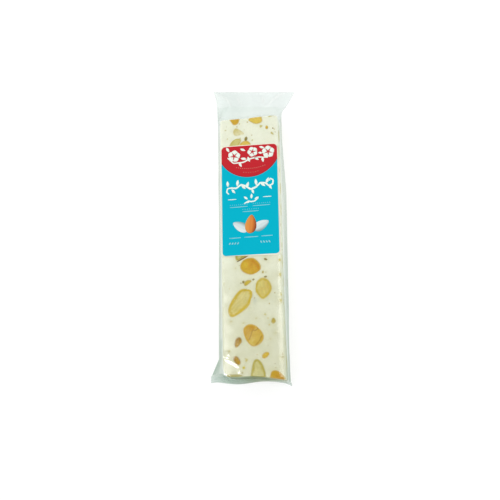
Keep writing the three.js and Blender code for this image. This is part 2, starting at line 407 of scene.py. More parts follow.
def nougatBar():
    # a rounded rectangle's outline carried along the bar; near each end it draws in by a quarter circle,
    # then shrinks to a point in the middle of the end face
    radius, end = bar["edgeRadius"], barHalf[1]
    turn = np.linspace(0, np.pi / 2, nougat["roundRings"])[1:]
    capScale = np.linspace(nougat["capLeast"], 1, nougat["capRings"])
    rowsCount = int(2 * (end - radius) / nougat["rowStep"])
    straight = np.linspace(-(end - radius), end - radius, rowsCount)[1:-1]
    cap = np.full(len(capScale), end)
    rounding = radius * (1 - np.cos(turn))
    alongRow = np.concatenate([-cap, -end + rounding, straight, end - rounding[::-1], cap])
    drawn = radius * np.sin(turn)
    grow = np.concatenate([0 * cap, drawn, np.full(len(straight), radius), drawn[::-1], 0 * cap])
    scale = np.concatenate([capScale, np.ones(len(alongRow) - 2 * len(capScale)), capScale[::-1]])
    centres, ways = barOutline(barHalf[0] - radius, barHalf[2] - radius)
    section = centres[None] * scale[:, None, None] + ways[None] * grow[:, None, None]
    rings = stack(section[..., 0], alongRow[:, None], section[..., 1])

    # soft dents and a fine grain, along the ways out
    x, y, z = np.moveaxis(rings, -1, 0)
    outward = rings - np.clip(rings, -(barHalf - radius), barHalf - radius)
    outward /= np.maximum(np.linalg.norm(outward, axis=-1, keepdims=True), 1e-9)
    dent = -nougat["dent"] * (nougat["dentBias"] + waves(x, y, z, nougat["dentLength"], seeds["dent"]))
    grain = nougat["grain"] * waves(x, y, z, nougat["grainLength"], seeds["grain"], count=20)
    rings = shapeBar(rings) + outward * np.minimum(dent + grain, nougat["proudest"])[..., None]
    poles = shapeBar(np.array([[0.0, -end, 0.0], [0.0, end, 0.0]]))
    points, faces = skinRings(rings, *poles)
    return makePiece("nougatBar", points, [f[:, ::-1] for f in faces])


nougatPiece = nougatBar()
print("nougat bar done")

# nougat: egg-white nougat, cut with a knife and pressed by the film

nougatLook = dict(
    cream="#FBFDE8", deep="#E4E4C8",   # darker and yellower towards the lower end: painted shade of light falling off, with some deeper colour of the nougat's own
    deepFrom=20.0, deepTo=-80.0,       # along Y
    deepWander=0.05,                   # how far that edge wanders, in metres
    mottle=9.0, pores=1.6, grain=0.7,  # sizes of the soft patches, of the air pores and of the cut's grain
    damp=7.0, dampTone="#D3D3AC", dampShare=0.4,    # syrupy, darker patches: size, colour and strength
    dampAtTop=0.35,                    # how much of that is left at the upper end
    nutHaloTone="#D3CE92", nutHaloShare=0.36, nutHaloReach=1.1,       # yellower round the almonds, reach in mm
    nutHaloAtTop=0.2, nutHaloOver=(-50, 0),     # how much of it is left in the upper part, and where that starts
    smudgeTone="#8FA39A", smudgeShare=0.3, smudgeStretch=1.5,   # a grey smudge of skin
    smudges=[(1.2, -40.4, 1.1), (-0.2, -37.4, 0.6)],            # its places and half widths
    frontDepth=1.5,                    # the halos round the almonds and the smudges lie on the front only
    roughness=0.5, glow=0.12,
)


def nougatMaterial():
    # cut egg-white nougat: cream, waxy and slightly see-in, with soft patches, pores and a fine knife drag,
    # darker and yellower towards the lower end as painted shade with some colour of its own
    look = nougatLook
    material = newMaterial("eggWhiteNougatCut")
    where = addNode(material, "TexCoord")
    parts = addNode(material, "SeparateXYZ", Vector=(where, "Object"))
    patches = addNode(material, "TexNoise", inputs={"Scale": 1 / (look["mottle"] * mm), "Detail": 3},
                      Vector=(where, "Object"))
    wander = addNode(material, "Math", productSum, {1: look["deepWander"], 2: -look["deepWander"] / 2},
                     _0=(patches, "Fac"))
    height = addNode(material, "Math", {"operation": "ADD"}, _0=(parts, "Y"), _1=(wander, "Value"))
    # painted shade: the nougat darkens towards the lower end as if the light fell off, with some deeper
    # colour of its own
    lowerShadeAndTone = addNode(material, "MapRange", softRange, {"From Min": look["deepFrom"] * mm,
                  "From Max": look["deepTo"] * mm}, Value=(height, "Value"))
    creamWithShade = addNode(material, "Mix", mixColours, {6: linear(look["cream"]), 7: linear(look["deep"])},
                    _0=(lowerShadeAndTone, "Result"))
    damp = addNode(material, "TexNoise", inputs={"Scale": 1 / (look["damp"] * mm), "Detail": 3,
                   "Roughness": 0.55}, Vector=(where, "Object"))
    inDamp = addNode(material, "MapRange", softRange, {"From Min": 0.42, "From Max": 0.72,
                     "To Max": look["dampShare"]}, Value=(damp, "Fac"))
    dampAlong = addNode(material, "MapRange", inputs={"To Min": look["dampAtTop"]}, Value=(lowerShadeAndTone, "Result"))
    dampHere = addNode(material, "Math", product, _0=(inDamp, "Result"), _1=(dampAlong, "Result"))
    colour = addNode(material, "Mix", mixColours, {7: linear(look["dampTone"])},
                     _0=(dampHere, "Value"), _6=(creamWithShade, 2))
    for mark in ("nutHalo", "smudge"):
        place = addNode(material, "Attribute", {"attribute_name": mark})
        share = addNode(material, "Math", product, {1: look[mark + "Share"]}, _0=(place, "Fac"))
        colour = addNode(material, "Mix", mixColours, {7: linear(look[mark + "Tone"])},
                         _0=(share, "Value"), _6=(colour, 2))
    pores = addNode(material, "TexNoise", inputs={"Scale": 1 / (look["pores"] * mm), "Detail": 4,
                    "Roughness": 0.6}, Vector=(where, "Object"))
    shade = addNode(material, "MapRange", inputs={"From Min": 0.3, "From Max": 0.62, "To Min": 0.95,
                    "To Max": 1.0}, Value=(pores, "Fac"))
    colour = addNode(material, "Mix", multiplyColours, {0: 1.0}, _6=(colour, 2), _7=(shade, "Result"))
    drag = addNode(material, "Mapping", inputs={"Scale": (1.0, 0.25, 1.0)}, Vector=(where, "Object"))
    grain = addNode(material, "TexNoise", inputs={"Scale": 1 / (look["grain"] * mm), "Detail": 3},
                    Vector=(drag, "Vector"))
    bump = addNode(material, "Bump", inputs={"Strength": 0.35, "Distance": 0.05 * mm}, Height=(grain, "Fac"))
    shader = addNode(material, "BsdfPrincipled",
                     inputs={"Roughness": look["roughness"], "Subsurface Weight": look["glow"],
                             "Subsurface Radius": (1.0, 0.85, 0.7), "Subsurface Scale": 1.0 * mm,
                             "Specular IOR Level": 0.3},
                     Base_Color=(colour, 2), Normal=(bump, "Normal"))
    addNode(material, "OutputMaterial", Surface=(shader, "BSDF"))
    return material


nougatPiece.data.materials.append(nougatMaterial())

# almonds: each has a face in the bar's surface, cut flat or round-backed, and a body sunk below it

# what an almond's face looks like: two tones that mix in patches, the second more towards `way` in
# degrees, which on the domed round backs also paints their shade and highlight; a rim of a third colour
# with its width in mm, its dome in mm, lengthwise streaks, and how far the nougat laps over its edge. The
# end of a name tells the kind of piece
lookColumns = ("face", "tone", "rim", "rimWidth", "way", "dome", "streaks", "lap")
lookRows = {
    "longHalf": ("#D6C56C", "#E0D48D", "#D0B430", 2.8, 60, 0.02, 0.05, 0.3),
    "paleHalf": ("#DED37E", "#D6BA58", "#CEB644", 2.0, 10, 0.02, 0.03, 0.5),
    "whiteHalf": ("#F1EAC1", "#D6CA80", "#D6C57B", 0.8, 120, 0.0, 0.02, 0.8),
    "greenHalf": ("#D3C872", "#DCD488", "#C6B650", 1.3, 30, 0.0, 0.03, 0.6),
    "oliveHalf": ("#CCC376", "#D4CE92", "#B7A942", 2.2, -30, 0.0, 0.03, 0.5),
    "goldBack": ("#DEBC31", "#CC8A08", "#CFA51A", 1.4, 35, 0.12, 0.0, 0.3),
    "splitBack": ("#DDC65A", "#CC970C", "#D0A81E", 1.2, 110, 0.12, 0.0, 0.3),
    "yellowBack": ("#E6CC54", "#EECC5F", "#D4B23A", 1.1, 90, 0.08, 0.02, 0.4),
    "oliveBack": ("#C9B030", "#D5BF4A", "#C2A630", 0.9, 90, 0.08, 0.02, 0.3),
    "amberBack": ("#D8A314", "#DCB43A", "#D4A81C", 0.9, 200, 0.08, 0.02, 0.3),
    "deepBack": ("#CEA60E", "#C48C08", "#C8A018", 0.9, 0, 0.08, 0.02, 0.3),
    "brownSkin": ("#CFA826", "#9E740C", "#A98420", 0.8, 120, 0.06, 0.06, 0.45),
    "darkSkin": ("#8C7418", "#9E9038", "#94822C", 0.6, 0, 0.03, 0.1, 0.1),
    "barkSkin": ("#75501F", "#80602C", "#86683A", 0.2, 120, 0.03, 0.05, 0.1),
    "oliveBit": ("#C4B85C", "#D0C46C", "#C4B868", 0.4, 0, 0.0, 0.0, 0.5),
    "paleBit": ("#CBC274", "#D3CA80", "#CBC274", 0.4, 0, 0.0, 0.0, 0.6),
    "deepBit": ("#B5A034", "#C9B45C", "#B9A84C", 0.4, -60, 0.02, 0.0, 0.3),
    "goldenBack": ("#D4AC08", "#DDBF38", "#CFA820", 0.9, 90, 0.08, 0.02, 0.3),
    "redSkin": ("#C29C0A", "#B0820A", "#AA8414", 0.8, 120, 0.06, 0.06, 0.4),
    "oliveEdge": ("#9E9238", "#BDB672", "#B4AA62", 0.8, 90, 0.0, 0.03, 0.65),
    "yellowBit": ("#D0C014", "#CCBB1E", "#C8B828", 0.4, 0, 0.02, 0.0, 0.3),
}
almondLooks = {name: dict(zip(lookColumns, row)) for name, row in lookRows.items()}
kinds = dict(Half="slicedAlmonds", Bit="slicedAlmonds", Edge="slicedAlmonds", Back="roastedAlmonds",
             Skin="skinnedAlmonds")

# large almonds on the front, by places round their outline in x and y
largeNuts = [
    ("amberBack", [(-11.4, 65.6), (-8.0, 66.5), (-5.6, 65.6), (-5.7, 63.3), (-6.4, 62.0), (-7.6, 61.2),
                   (-8.9, 61.1), (-9.8, 62.0), (-10.9, 63.6)]),
    ("yellowBack", [(-0.7, 63.5), (0.4, 64.9), (3.8, 66.0), (6.9, 65.8), (7.5, 63.1), (7.6, 62.1),
                    (6.6, 61.0), (4.2, 60.5), (2.1, 61.2), (0.5, 62.4)]),
    ("whiteHalf", [(-9.5, 57.8), (-9.0, 59.0), (-7.8, 59.6), (-6.4, 59.0), (-4.9, 57.8), (-3.4, 56.5),
                   (-2.7, 55.4), (-3.7, 55.1), (-5.2, 54.9), (-6.5, 54.5), (-7.8, 54.3), (-9.0, 55.2),
                   (-9.6, 56.4)]),
    ("greenHalf", [(-11.6, 48.9), (-11.2, 50.5), (-10.0, 51.9), (-8.4, 53.0), (-6.6, 53.3), (-4.8, 52.7),
                   (-4.5, 51.9), (-5.1, 50.6), (-5.9, 49.0), (-6.3, 47.4), (-9.0, 46.0), (-11.1, 46.7)]),
    ("yellowBack", [(-6.3, 48.5), (-5.6, 49.9), (-4.3, 51.0), (-2.4, 51.6), (-0.9, 51.2), (0.4, 50.0),
                    (1.1, 48.5), (0.8, 46.9), (-1.5, 45.5), (-4.6, 46.0), (-6.1, 47.2)]),
    ("oliveHalf", [(-9.4, -13.0), (-9.3, -16.0), (-8.9, -17.9), (-7.6, -18.2), (-5.6, -17.2), (-3.6, -16.3),
                   (-1.8, -14.8), (-3.6, -11.6), (-6.8, -11.2)]),
    ("goldBack", [(-6.7, -21.2), (-6.4, -20.0), (-5.6, -18.5), (-4.4, -17.4), (-2.6, -16.7), (-1.1, -16.6),
                  (0.6, -16.5), (2.1, -17.5), (3.6, -18.9), (4.6, -20.6), (5.0, -22.4), (4.6, -23.9),
                  (3.2, -25.0), (1.2, -26.0), (-1.0, -26.2), (-3.3, -25.5), (-5.0, -24.4), (-6.2, -23.0)]),
    ("oliveBack", [(-4.6, -30.7), (-3.8, -29.5), (-2.3, -28.9), (-0.7, -29.1), (-0.4, -29.8), (-1.8, -31.1),
                   (-3.1, -32.1), (-4.1, -32.3), (-4.7, -31.5)]),
    ("paleHalf", [(1.2, -33.4), (1.5, -31.6), (2.6, -29.5), (4.0, -28.4), (5.6, -27.8), (7.2, -28.1),
                  (8.7, -29.0), (9.9, -30.9), (10.6, -32.8), (10.8, -34.2), (10.1, -36.2), (9.0, -37.8),
                  (7.7, -38.9), (6.1, -40.0), (5.1, -40.1), (4.0, -39.1), (2.7, -37.4), (1.5, -35.9)]),
    ("longHalf", [(-13.6, -44.9), (-12.6, -41.8), (-11.0, -38.9), (-9.0, -36.3), (-7.0, -34.2),
                  (-4.9, -33.5), (-2.9, -33.6), (-1.0, -33.8), (0.0, -35.2), (0.0, -37.4), (-0.5, -39.9),
                  (-1.6, -42.6), (-3.1, -44.4), (-5.1, -45.8), (-7.1, -47.2), (-9.1, -48.4), (-10.8, -49.1),
                  (-11.9, -49.1), (-12.9, -48.0), (-13.5, -46.4)]),
    ("splitBack", [(-5.5, -56.5), (-5.3, -55.1), (-4.0, -53.8), (-2.3, -53.0), (-0.6, -53.1), (1.6, -54.0),
                   (3.6, -55.9), (5.0, -58.0), (5.6, -60.2), (5.2, -61.9), (4.1, -63.4), (2.7, -64.3),
                   (1.4, -65.1), (-0.1, -65.4), (-2.0, -64.3), (-3.4, -62.5), (-4.6, -60.7),
                   (-5.3, -58.7)]),
    ("brownSkin", [(-10.0, -62.2), (-9.8, -61.0), (-8.8, -60.0), (-7.3, -59.7), (-6.2, -60.8),
                   (-6.0, -62.4), (-7.1, -63.9), (-8.3, -65.1), (-9.2, -65.9), (-10.2, -65.0),
                   (-10.4, -63.4)]),
    ("deepBit", [(9.4, -52.0), (9.9, -50.7), (10.8, -50.0), (11.7, -50.9), (12.2, -52.1), (11.4, -53.2),
                 (10.5, -53.6), (9.6, -52.9)]),
    ("goldenBack", [(4.2, -70.3), (5.0, -69.0), (6.4, -68.2), (8.0, -68.5), (8.3, -69.5), (7.1, -71.0),
                    (5.9, -71.9), (4.7, -71.8), (4.2, -70.9)]),
    ("redSkin", [(-11.2, -71.4), (-10.7, -70.2), (-9.7, -69.8), (-8.3, -70.6), (-7.4, -72.0), (-6.8, -73.5),
                 (-7.2, -74.7), (-8.1, -75.0), (-9.6, -74.2), (-10.8, -72.6)]),
    ("oliveHalf", [(-2.0, -80.9), (-1.6, -78.5), (-1.2, -76.1), (-0.6, -73.7), (0.3, -72.1), (1.5, -71.6),
                   (2.7, -72.2), (4.0, -73.5), (4.9, -75.4), (5.6, -77.3), (6.1, -79.5), (6.2, -82.1),
                   (2.5, -83.4), (-1.7, -82.8)]),
    ("deepBack", [(8.0, -81.0), (8.3, -79.5), (9.1, -78.4), (10.8, -78.0), (12.6, -78.8), (13.9, -80.0),
                  (15.0, -81.6), (15.8, -83.2), (15.6, -84.6), (12.6, -85.2), (8.4, -83.8)]),
]
splits = [                    # cracks over the split almond
    [(-2.3, -61.4), (-1.8, -60.1), (-1.1, -58.7), (-0.9, -57.5), (-0.1, -56.2), (1.1, -56.8), (2.1, -56.0),
     (2.7, -55.5)],
    [(1.2, -64.4), (2.6, -63.0), (3.7, -61.4), (4.2, -59.8)],
]

# small pieces on the front: middle x and y, length, width, angle in degrees, pointedness
smallNuts = [
    ("oliveBit", 12.4, 65.0, 3.4, 1.4, 24, 0.2), ("darkSkin", -2.1, 52.4, 2.7, 1.6, 80, 0.2),
    ("oliveBit", 6.7, 59.1, 1.9, 1.7, 20, 0.5), ("goldenBack", 9.9, 58.1, 2.3, 1.9, 90, 0.1),
    ("oliveBit", 12.8, 54.5, 2.3, 1.2, -45, 0.4), ("oliveBit", 14.0, 56.9, 1.3, 0.6, -60, 0.3),
    ("oliveBit", -13.7, 58.5, 1.1, 0.8, 0, 0.3), ("oliveBit", -12.6, 53.2, 1.0, 0.7, 40, 0.3),
    ("oliveBit", 1.6, 51.4, 1.3, 0.9, 40, 0.3), ("oliveBit", -5.7, 61.8, 0.9, 0.8, 0, 0.1),
    ("oliveBit", -15.9, 30.0, 2.0, 7.2, 0, 0.3), ("darkSkin", 7.6, -17.9, 2.2, 1.2, -28, 0.3),
    ("deepBit", 5.9, -24.9, 1.7, 1.2, 80, 0.4), ("oliveBit", 7.5, -25.1, 0.9, 0.6, 0, 0.2),
    ("barkSkin", -5.2, -17.0, 7.4, 0.75, 27, 0.2), ("darkSkin", 7.3, -27.6, 1.5, 1.0, 10, 0.2),
    ("darkSkin", 0.6, -28.8, 1.0, 0.8, 0, 0.2), ("darkSkin", -4.9, -30.0, 1.3, 1.5, 0, 0.1),
    ("oliveBit", 6.5, -48.2, 1.2, 1.0, 0, 0.2), ("oliveBit", 1.7, -50.1, 1.2, 0.6, 10, 0.2),
    ("yellowBit", -5.4, -76.3, 1.7, 1.5, 40, 0.2), ("oliveEdge", -6.2, -78.9, 1.2, 1.4, 0, 0.2),
    ("oliveBit", -12.0, -51.3, 1.5, 0.7, 10, 0.2), ("oliveBit", -5.2, -52.4, 1.3, 0.6, 10, 0.2),
    ("yellowBit", 15.1, -18.5, 1.3, 1.2, 0, 0.2), ("paleBit", 15.4, -26.7, 2.4, 2.4, 10, 0.2),
    ("paleBit", 15.4, -37.6, 1.7, 1.8, 0, 0.2), ("paleBit", 15.1, -40.9, 2.0, 2.3, 0, 0.2),
    ("paleBit", 15.4, 40.9, 1.6, 4.4, 0, 0.2), ("paleBit", 15.5, 15.0, 1.2, 4.0, 0, 0.2),
    ("oliveBit", -13.1, -67.2, 1.7, 0.9, 45, 0.3), ("oliveEdge", 14.6, -71.4, 1.8, 1.2, 20, 0.3),
    ("oliveBit", -3.9, -72.4, 2.0, 1.4, 60, 0.3), ("oliveEdge", -10.6, -80.6, 9.5, 2.4, 2, 0.5),
    ("oliveBit", 8.9, -61.5, 0.8, 0.5, 0, 0.2), ("oliveBit", 11.8, -58.3, 0.9, 0.5, 60, 0.2),
    ("oliveBit", -9.0, -22.0, 0.8, 0.6, 0, 0.2),
]

nutMesh = dict(
    detail=0.3, hiddenDetail=0.75,  # spacing of the points in a face, on the front and elsewhere
    nutHaloDetail=0.5,                # and of the outlines that the yellow halo goes by
    outlinePoints=(20, 128), softEvery=10,          # least and most, and how many ask for one softening
    ovalPoints=(14, 100), ovalRound=3.1,            # round an oval: least and most, and for each length
    ovalWaves=(2, 3, 4, 5), ovalStart=(0, 6.3),     # the low waves round an oval: how many to a turn, phase
    ovalSwell=0.07, tipWider=0.28, tipNarrower=0.25,
    faceRings=(4, 20), bodyRings=5, depth=0.42,     # depth of the sunk body as a share of the face's width
    bodyPower=0.8, bodyBelly=0.15,
    proud=0.06, sunkEdge=0.06, edgeFrom=0.8,        # a face stands proud of the nougat, its edge less so
    lapWidth=0.6, leastLap=0.1,     # nougat smeared over a face's edge
    skirt=0.3, skirtFall=0.12,      # past its edge a face goes on just under the nougat: width and fall
    relief=0.025, reliefLength=1.8,
    lean=0.45, patch=0.16, patchLength=3.6,         # how a face's two tones mix
    rimWander=0.2, rimWanderLength=2.0, rimFull=0.4,
    streakLength=1.1, streakStretch=7,
    crackDepth=0.10, crackWidth=0.22, uncracked=9.0,
)
hiddenNut = dict(
    looks=["longHalf", "paleHalf", "yellowBack", "amberBack", "goldBack", "brownSkin", "greenHalf"],
    sideLooks=["whiteHalf", "greenHalf", "paleBit", "whiteHalf", "oliveBit", "whiteHalf"],
    perFace=dict(back=34, left=13, right=13, upperEnd=4, lowerEnd=3),
    largeShare=0.6, large=(7, 15), small=(1.2, 4.5),        # lengths
    slimness=(0.45, 0.8), pointedness=(0.1, 0.6), spread=(0.38, 0.62),
    # on the sides and ends: almonds lie along the face, this far from the front and from its ends, with a
    # longest one as a share of the room each has, and a widest one as a share of the face's half height
    edgeGap=1.6, endGap=0.8, middleGap=0.6, tilt=12, sideFill=0.68, sideHeight=1.1, leastRoom=0.1,
)

boxFaces = {                  # turns a face's own (along x, along y, outwards) into the box's axes
    "front": np.array([[1, 0, 0], [0, 1, 0], [0, 0, 1]]),
    "back": np.array([[-1, 0, 0], [0, 1, 0], [0, 0, -1]]),
    "right": np.array([[0, 0, 1], [0, 1, 0], [-1, 0, 0]]),
    "left": np.array([[0, 0, -1], [0, 1, 0], [1, 0, 0]]),
    "upperEnd": np.array([[1, 0, 0], [0, 0, 1], [0, -1, 0]]),
    "lowerEnd": np.array([[1, 0, 0], [0, 0, -1], [0, 1, 0]]),
}


def turnedBy(u, v, degrees):
    # two coordinates turned to the left by an angle
    way = math.radians(degrees)
    return u * math.cos(way) - v * math.sin(way), u * math.sin(way) + v * math.cos(way)


def softOutline(points, step):
    # a closed curve through given points: evenly sampled by length, then averaged with its neighbours
    points = np.array(points + points[:1], float)
    run = np.concatenate([[0], np.cumsum(np.linalg.norm(np.diff(points, axis=0), axis=1))])
    count = int(np.clip(run[-1] / step, *nutMesh["outlinePoints"]))
    at = np.linspace(0, run[-1], count, endpoint=False)
    path = np.stack([np.interp(at, run, points[:, k]) for k in (0, 1)], axis=-1)
    for _ in range(max(2, count // nutMesh["softEvery"])):
        path = (np.roll(path, 1, axis=0) + 2 * path + np.roll(path, -1, axis=0)) / 4
    following = np.roll(path, -1, axis=0)
    turnedRight = np.sum(path[:, 0] * following[:, 1] - path[:, 1] * following[:, 0]) < 0
    return path[::-1] if turnedRight else path


def ovalOutline(x, y, length, width, angle, point, seed, step):
    # an ellipse whose width falls towards one end by `point`, with low waves round it, turned and placed
    draw = np.random.default_rng(seed)
    count = int(np.clip(nutMesh["ovalRound"] * max(length, width) / step, *nutMesh["ovalPoints"]))
    turn = np.linspace(0, 2 * np.pi, count, endpoint=False)
    swell = 1 + sum(draw.normal() * nutMesh["ovalSwell"] / k
                    * np.cos(k * turn + draw.uniform(*nutMesh["ovalStart"])) for k in nutMesh["ovalWaves"])
    tip = (1 + nutMesh["tipWider"] * point) * (1 - point * nutMesh["tipNarrower"] * (1 + np.cos(turn)) ** 2)
    u, v = turnedBy(length / 2 * np.cos(turn) * swell, width / 2 * np.sin(turn) * swell * tip, angle)
    return np.stack([x + u, y + v], axis=-1)


def frontOutlines(step):
    # every almond on the front: its look and its outline
    outlines = [(name, softOutline(outline, step)) for name, outline in largeNuts]
    return outlines + [(name, ovalOutline(*oval, seeds["ovals"] + number, step))
                       for number, (name, *oval) in enumerate(smallNuts)]


def tint(code):
    return np.array(linear(code))


def nougatTone(y):
    # the nougat's colour along the bar, with its painted shade towards the lower end, for the thin layer of
    # it over an almond's edge
    share = smooth(-y, -nougatLook["deepFrom"], -nougatLook["deepTo"])[..., None]
    return lerp(tint(nougatLook["cream"]), tint(nougatLook["deep"]), share)


def nutColours(x, y, middle, arms, inward, look, seed):
    # colours mix by soft patches that lean one way, by distance from the edge, by streaks along the longest
    # axis of the outline, and by the nougat that laps over the edge; on the round backs the lean is partly
    # painted shade and highlight
    reach = np.linalg.norm(arms, axis=1)
    way = math.radians(look["way"])
    # the lean is partly the almonds' own tone and partly painted shade and highlight across the domed backs
    lean = ((x - middle[0]) * math.cos(way) + (y - middle[1]) * math.sin(way)) / reach.mean()
    patch = np.clip(0.5 + nutMesh["lean"] * lean
                    + nutMesh["patch"] * waves(x, y, 0, nutMesh["patchLength"], seed + 1, count=10), 0, 1)
    colour = lerp(tint(look["face"]), tint(look["tone"]), patch[..., None])
    wander = nutMesh["rimWander"] * waves(x, y, 0, nutMesh["rimWanderLength"], seed + 2, count=8)
    edge = 1 - smooth(inward + wander, nutMesh["rimFull"] * look["rimWidth"], look["rimWidth"])
    colour = lerp(colour, tint(look["rim"]), edge[..., None])
    axis = np.linalg.eigh(np.cov(arms.T))[1][:, 1]
    along = (x - middle[0]) * axis[0] + (y - middle[1]) * axis[1]
    across = (y - middle[1]) * axis[0] - (x - middle[0]) * axis[1]
    streaks = waves(along / nutMesh["streakStretch"], across, 0, nutMesh["streakLength"], seed + 3, count=8)
    colour = colour * (1 + look["streaks"] * streaks)[..., None]
    lap = lerp(nutMesh["leastLap"], 1, look["lap"]) * (1 - smooth(inward, 0, nutMesh["lapWidth"]))
    return lerp(colour, nougatTone(y), lap[..., None])


def nutShape(outline, look, step, seed):
    # face: the outline scaled from its middle in rings, domed, with a low edge; body: the outline drawn in
    # by a cosine while it goes down by a sine
    middle = outline.mean(axis=0)
    arms = outline - middle
    reach = np.linalg.norm(arms, axis=1)
    rings = int(np.clip(reach.mean() / step, *nutMesh["faceRings"]))
    share = np.linspace(1 / rings, 1, rings)[:, None]
    down = np.linspace(0, np.pi / 2, nutMesh["bodyRings"] + 1)[1:-1, None]
    depth = nutMesh["depth"] * 2 * reach.min()
    wider = 1 + nutMesh["skirt"] / reach.mean()
    bodyScale = wider * np.cos(down) ** nutMesh["bodyPower"] * (1 + nutMesh["bodyBelly"] * np.sin(2 * down))
    scale = np.concatenate([share, [[wider]], bodyScale])
    onFace = np.concatenate([share, [[1.0]], np.ones_like(down)])
    x, y = middle[0] + arms[:, 0] * scale, middle[1] + arms[:, 1] * scale
    inward = (1 - onFace) * reach
    dome = look["dome"] * (1 - onFace ** 2) - nutMesh["sunkEdge"] * smooth(onFace, nutMesh["edgeFrom"], 1)
    relief = nutMesh["relief"] * waves(x, y, 0, nutMesh["reliefLength"], seed, count=8) * (1 - onFace ** 4)
    fall = np.concatenate([0 * share, [[nutMesh["skirtFall"]]], nutMesh["skirtFall"] + depth * np.sin(down)])
    lift = dome + relief - fall
    colour = nutColours(x, y, middle, arms, inward, look, seed)

    # distance from a crack goes along as the fourth channel
    split = np.full(x.shape, nutMesh["uncracked"])
    if look is almondLooks["splitBack"] and step == nutMesh["detail"]:
        for path in splits:
            line = smoothPath(path)
            gap = np.hypot(x[..., None] - line[:, 0], y[..., None] - line[:, 1]).min(axis=-1)
            split = np.minimum(split, gap)
        lift = lift - nutMesh["crackDepth"] * ridge(split, nutMesh["crackWidth"])
    colour[..., 3] = split
    top, bottom = [*middle, look["dome"]], [*middle, -depth - nutMesh["skirtFall"]]
    points, faces = skinRings(stack(x, y, lift), top, bottom)
    flat = colour.reshape(-1, 4)
    return points, otherSideOut(faces), np.concatenate([flat, [colour[0].mean(axis=0)], [flat[-1]]])


def placeFace(points, side):
    # takes points given in a face's own plane to the box and presses them onto the bar
    axes = boxFaces[side]
    outwards = axes[:, 2]
    level = float(np.abs(outwards) @ barHalf) + nutMesh["proud"]
    return shapeBar(points @ axes.T + outwards * level, nutMesh["proud"])


def toBox(path):
    # places on the front, in the frame, to the straight box
    shift = lowerEndAt(path[:, 0]) - filmLowerEnd
    local = path[:, 1] - barMiddle[1]
    moved = shift * smooth(-local, barHalf[1] - bar["endRun"], barHalf[1])
    return np.stack([path[:, 0] - barMiddle[0], local - moved], axis=-1)


def faceReach(side):
    # half length and half width of a face
    return np.abs(boxFaces[side][:, :2].T @ barHalf)


def hiddenNuts():
    # almonds of the back, the sides and the ends: spread along each face with random steps
    nuts = []
    for side, count in hiddenNut["perFace"].items():
        reach = faceReach(side)
        longWay = int(reach.argmax())
        for k in range(count):
            isLarge = rng.random() < hiddenNut["largeShare"]
            length = rng.uniform(*hiddenNut["large" if isLarge else "small"])
            width = length * rng.uniform(*hiddenNut["slimness"])
            angle = rng.uniform(0, 180)
            limit = reach - hiddenNut["middleGap"]
            if side != "back":
                shrink = min(1, hiddenNut["sideFill"] * 2 * reach.max() / count / length)
                length, width = length * shrink, min(width * shrink, reach.min() * hiddenNut["sideHeight"])
                angle = 90 * longWay + rng.uniform(-hiddenNut["tilt"], hiddenNut["tilt"])
                room = reach.min() - width / 2 - hiddenNut["edgeGap"]
                limit[1 - longWay] = max(room, hiddenNut["leastRoom"])
                limit[longWay] = reach.max() - length / 2 - hiddenNut["endGap"]
            place = np.empty(2)
            place[longWay] = ((k + rng.uniform(*hiddenNut["spread"])) / count * 2 - 1) * limit[longWay]
            place[1 - longWay] = rng.uniform(-1, 1) * limit[1 - longWay]
            looks = hiddenNut["looks" if side == "back" else "sideLooks"]
            name = looks[rng.integers(len(looks))]
            nuts.append((side, name, (*place, length, width, angle, rng.uniform(*hiddenNut["pointedness"]))))
    return nuts


def nutHalos():
    # yellows the nougat round the almonds: full at an outline, gone by an exponential of the distance from
    # it, and weaker in the upper part
    look = nougatLook
    path = np.concatenate([outline for _, outline in frontOutlines(nutMesh["nutHaloDetail"])])
    points = np.empty(3 * len(nougatPiece.data.vertices), np.float32)
    nougatPiece.data.vertices.foreach_get("co", points)
    x, y, z = points.reshape(-1, 3).T / mm
    front = z > bar["top"] - look["frontDepth"]
    gap = np.hypot(x[front][:, None] - path[:, 0], y[front][:, None] - path[:, 1]).min(axis=1)
    nutHalo = np.zeros(len(z), np.float32)
    nutHalo[front] = np.exp(-gap / look["nutHaloReach"]) * lerp(look["nutHaloAtTop"], 1,
                                                            smooth(-y[front], *look["nutHaloOver"]))
    smudge = np.zeros(len(z), np.float32)
    for atX, atY, width in look["smudges"]:
        smudge += ridge(np.hypot(x - atX, (y - atY) / look["smudgeStretch"]), width) * front
    for name, values in (("nutHalo", nutHalo), ("smudge", smudge)):
        layer = nougatPiece.data.attributes.new(name, "FLOAT", "POINT")
        layer.data.foreach_set("value", values)


def makeAlmonds():
    # all almonds as three joined meshes, by kind: cut halves, roasted round backs, and pieces with skin
    fine, coarse = nutMesh["detail"], nutMesh["hiddenDetail"]
    shapes = [("front", name, outline, fine) for name, outline in frontOutlines(fine)]
    for number, (side, name, oval) in enumerate(hiddenNuts()):
        outline = ovalOutline(*oval, seeds["hiddenOvals"] + number, coarse)
        shapes.append((side, name, outline, coarse))
    pieces = {}
    for number, (side, name, outline, step) in enumerate(shapes):
        seed = seeds["nuts"] + seeds["nutStep"] * number
        points, faces, colours = nutShape(outline, almondLooks[name], step, seed)
        if side == "front":
            points[:, :2] = toBox(points[:, :2])
        kind = next(kinds[end] for end in kinds if name.endswith(end))
        allPoints, allFaces, allColours = pieces.setdefault(kind, ([], [], []))
        start = sum(len(p) for p in allPoints)
        allPoints.append(placeFace(points, side))
        allFaces.extend(f + start for f in faces)
        allColours.append(colours)
    made = []
    for name, (points, faces, colours) in pieces.items():
        colours = np.concatenate(colours)
        split = colours[:, 3].copy()
        colours[:, 3] = 1
        attributes = dict(tone=colours, split=split)
        made.append(makePiece(name, np.concatenate(points), faces, attributes=attributes))
    return made


# material, roughness, and how dark the fine grain goes
almondFinish = dict(
    slicedAlmonds=("almondFleshCut", 0.5, 0.94), roastedAlmonds=("almondRoastedGolden", 0.42, 0.90),
    skinnedAlmonds=("almondBrownSkin", 0.5, 0.82),
)
crackTone = "#9E690A"


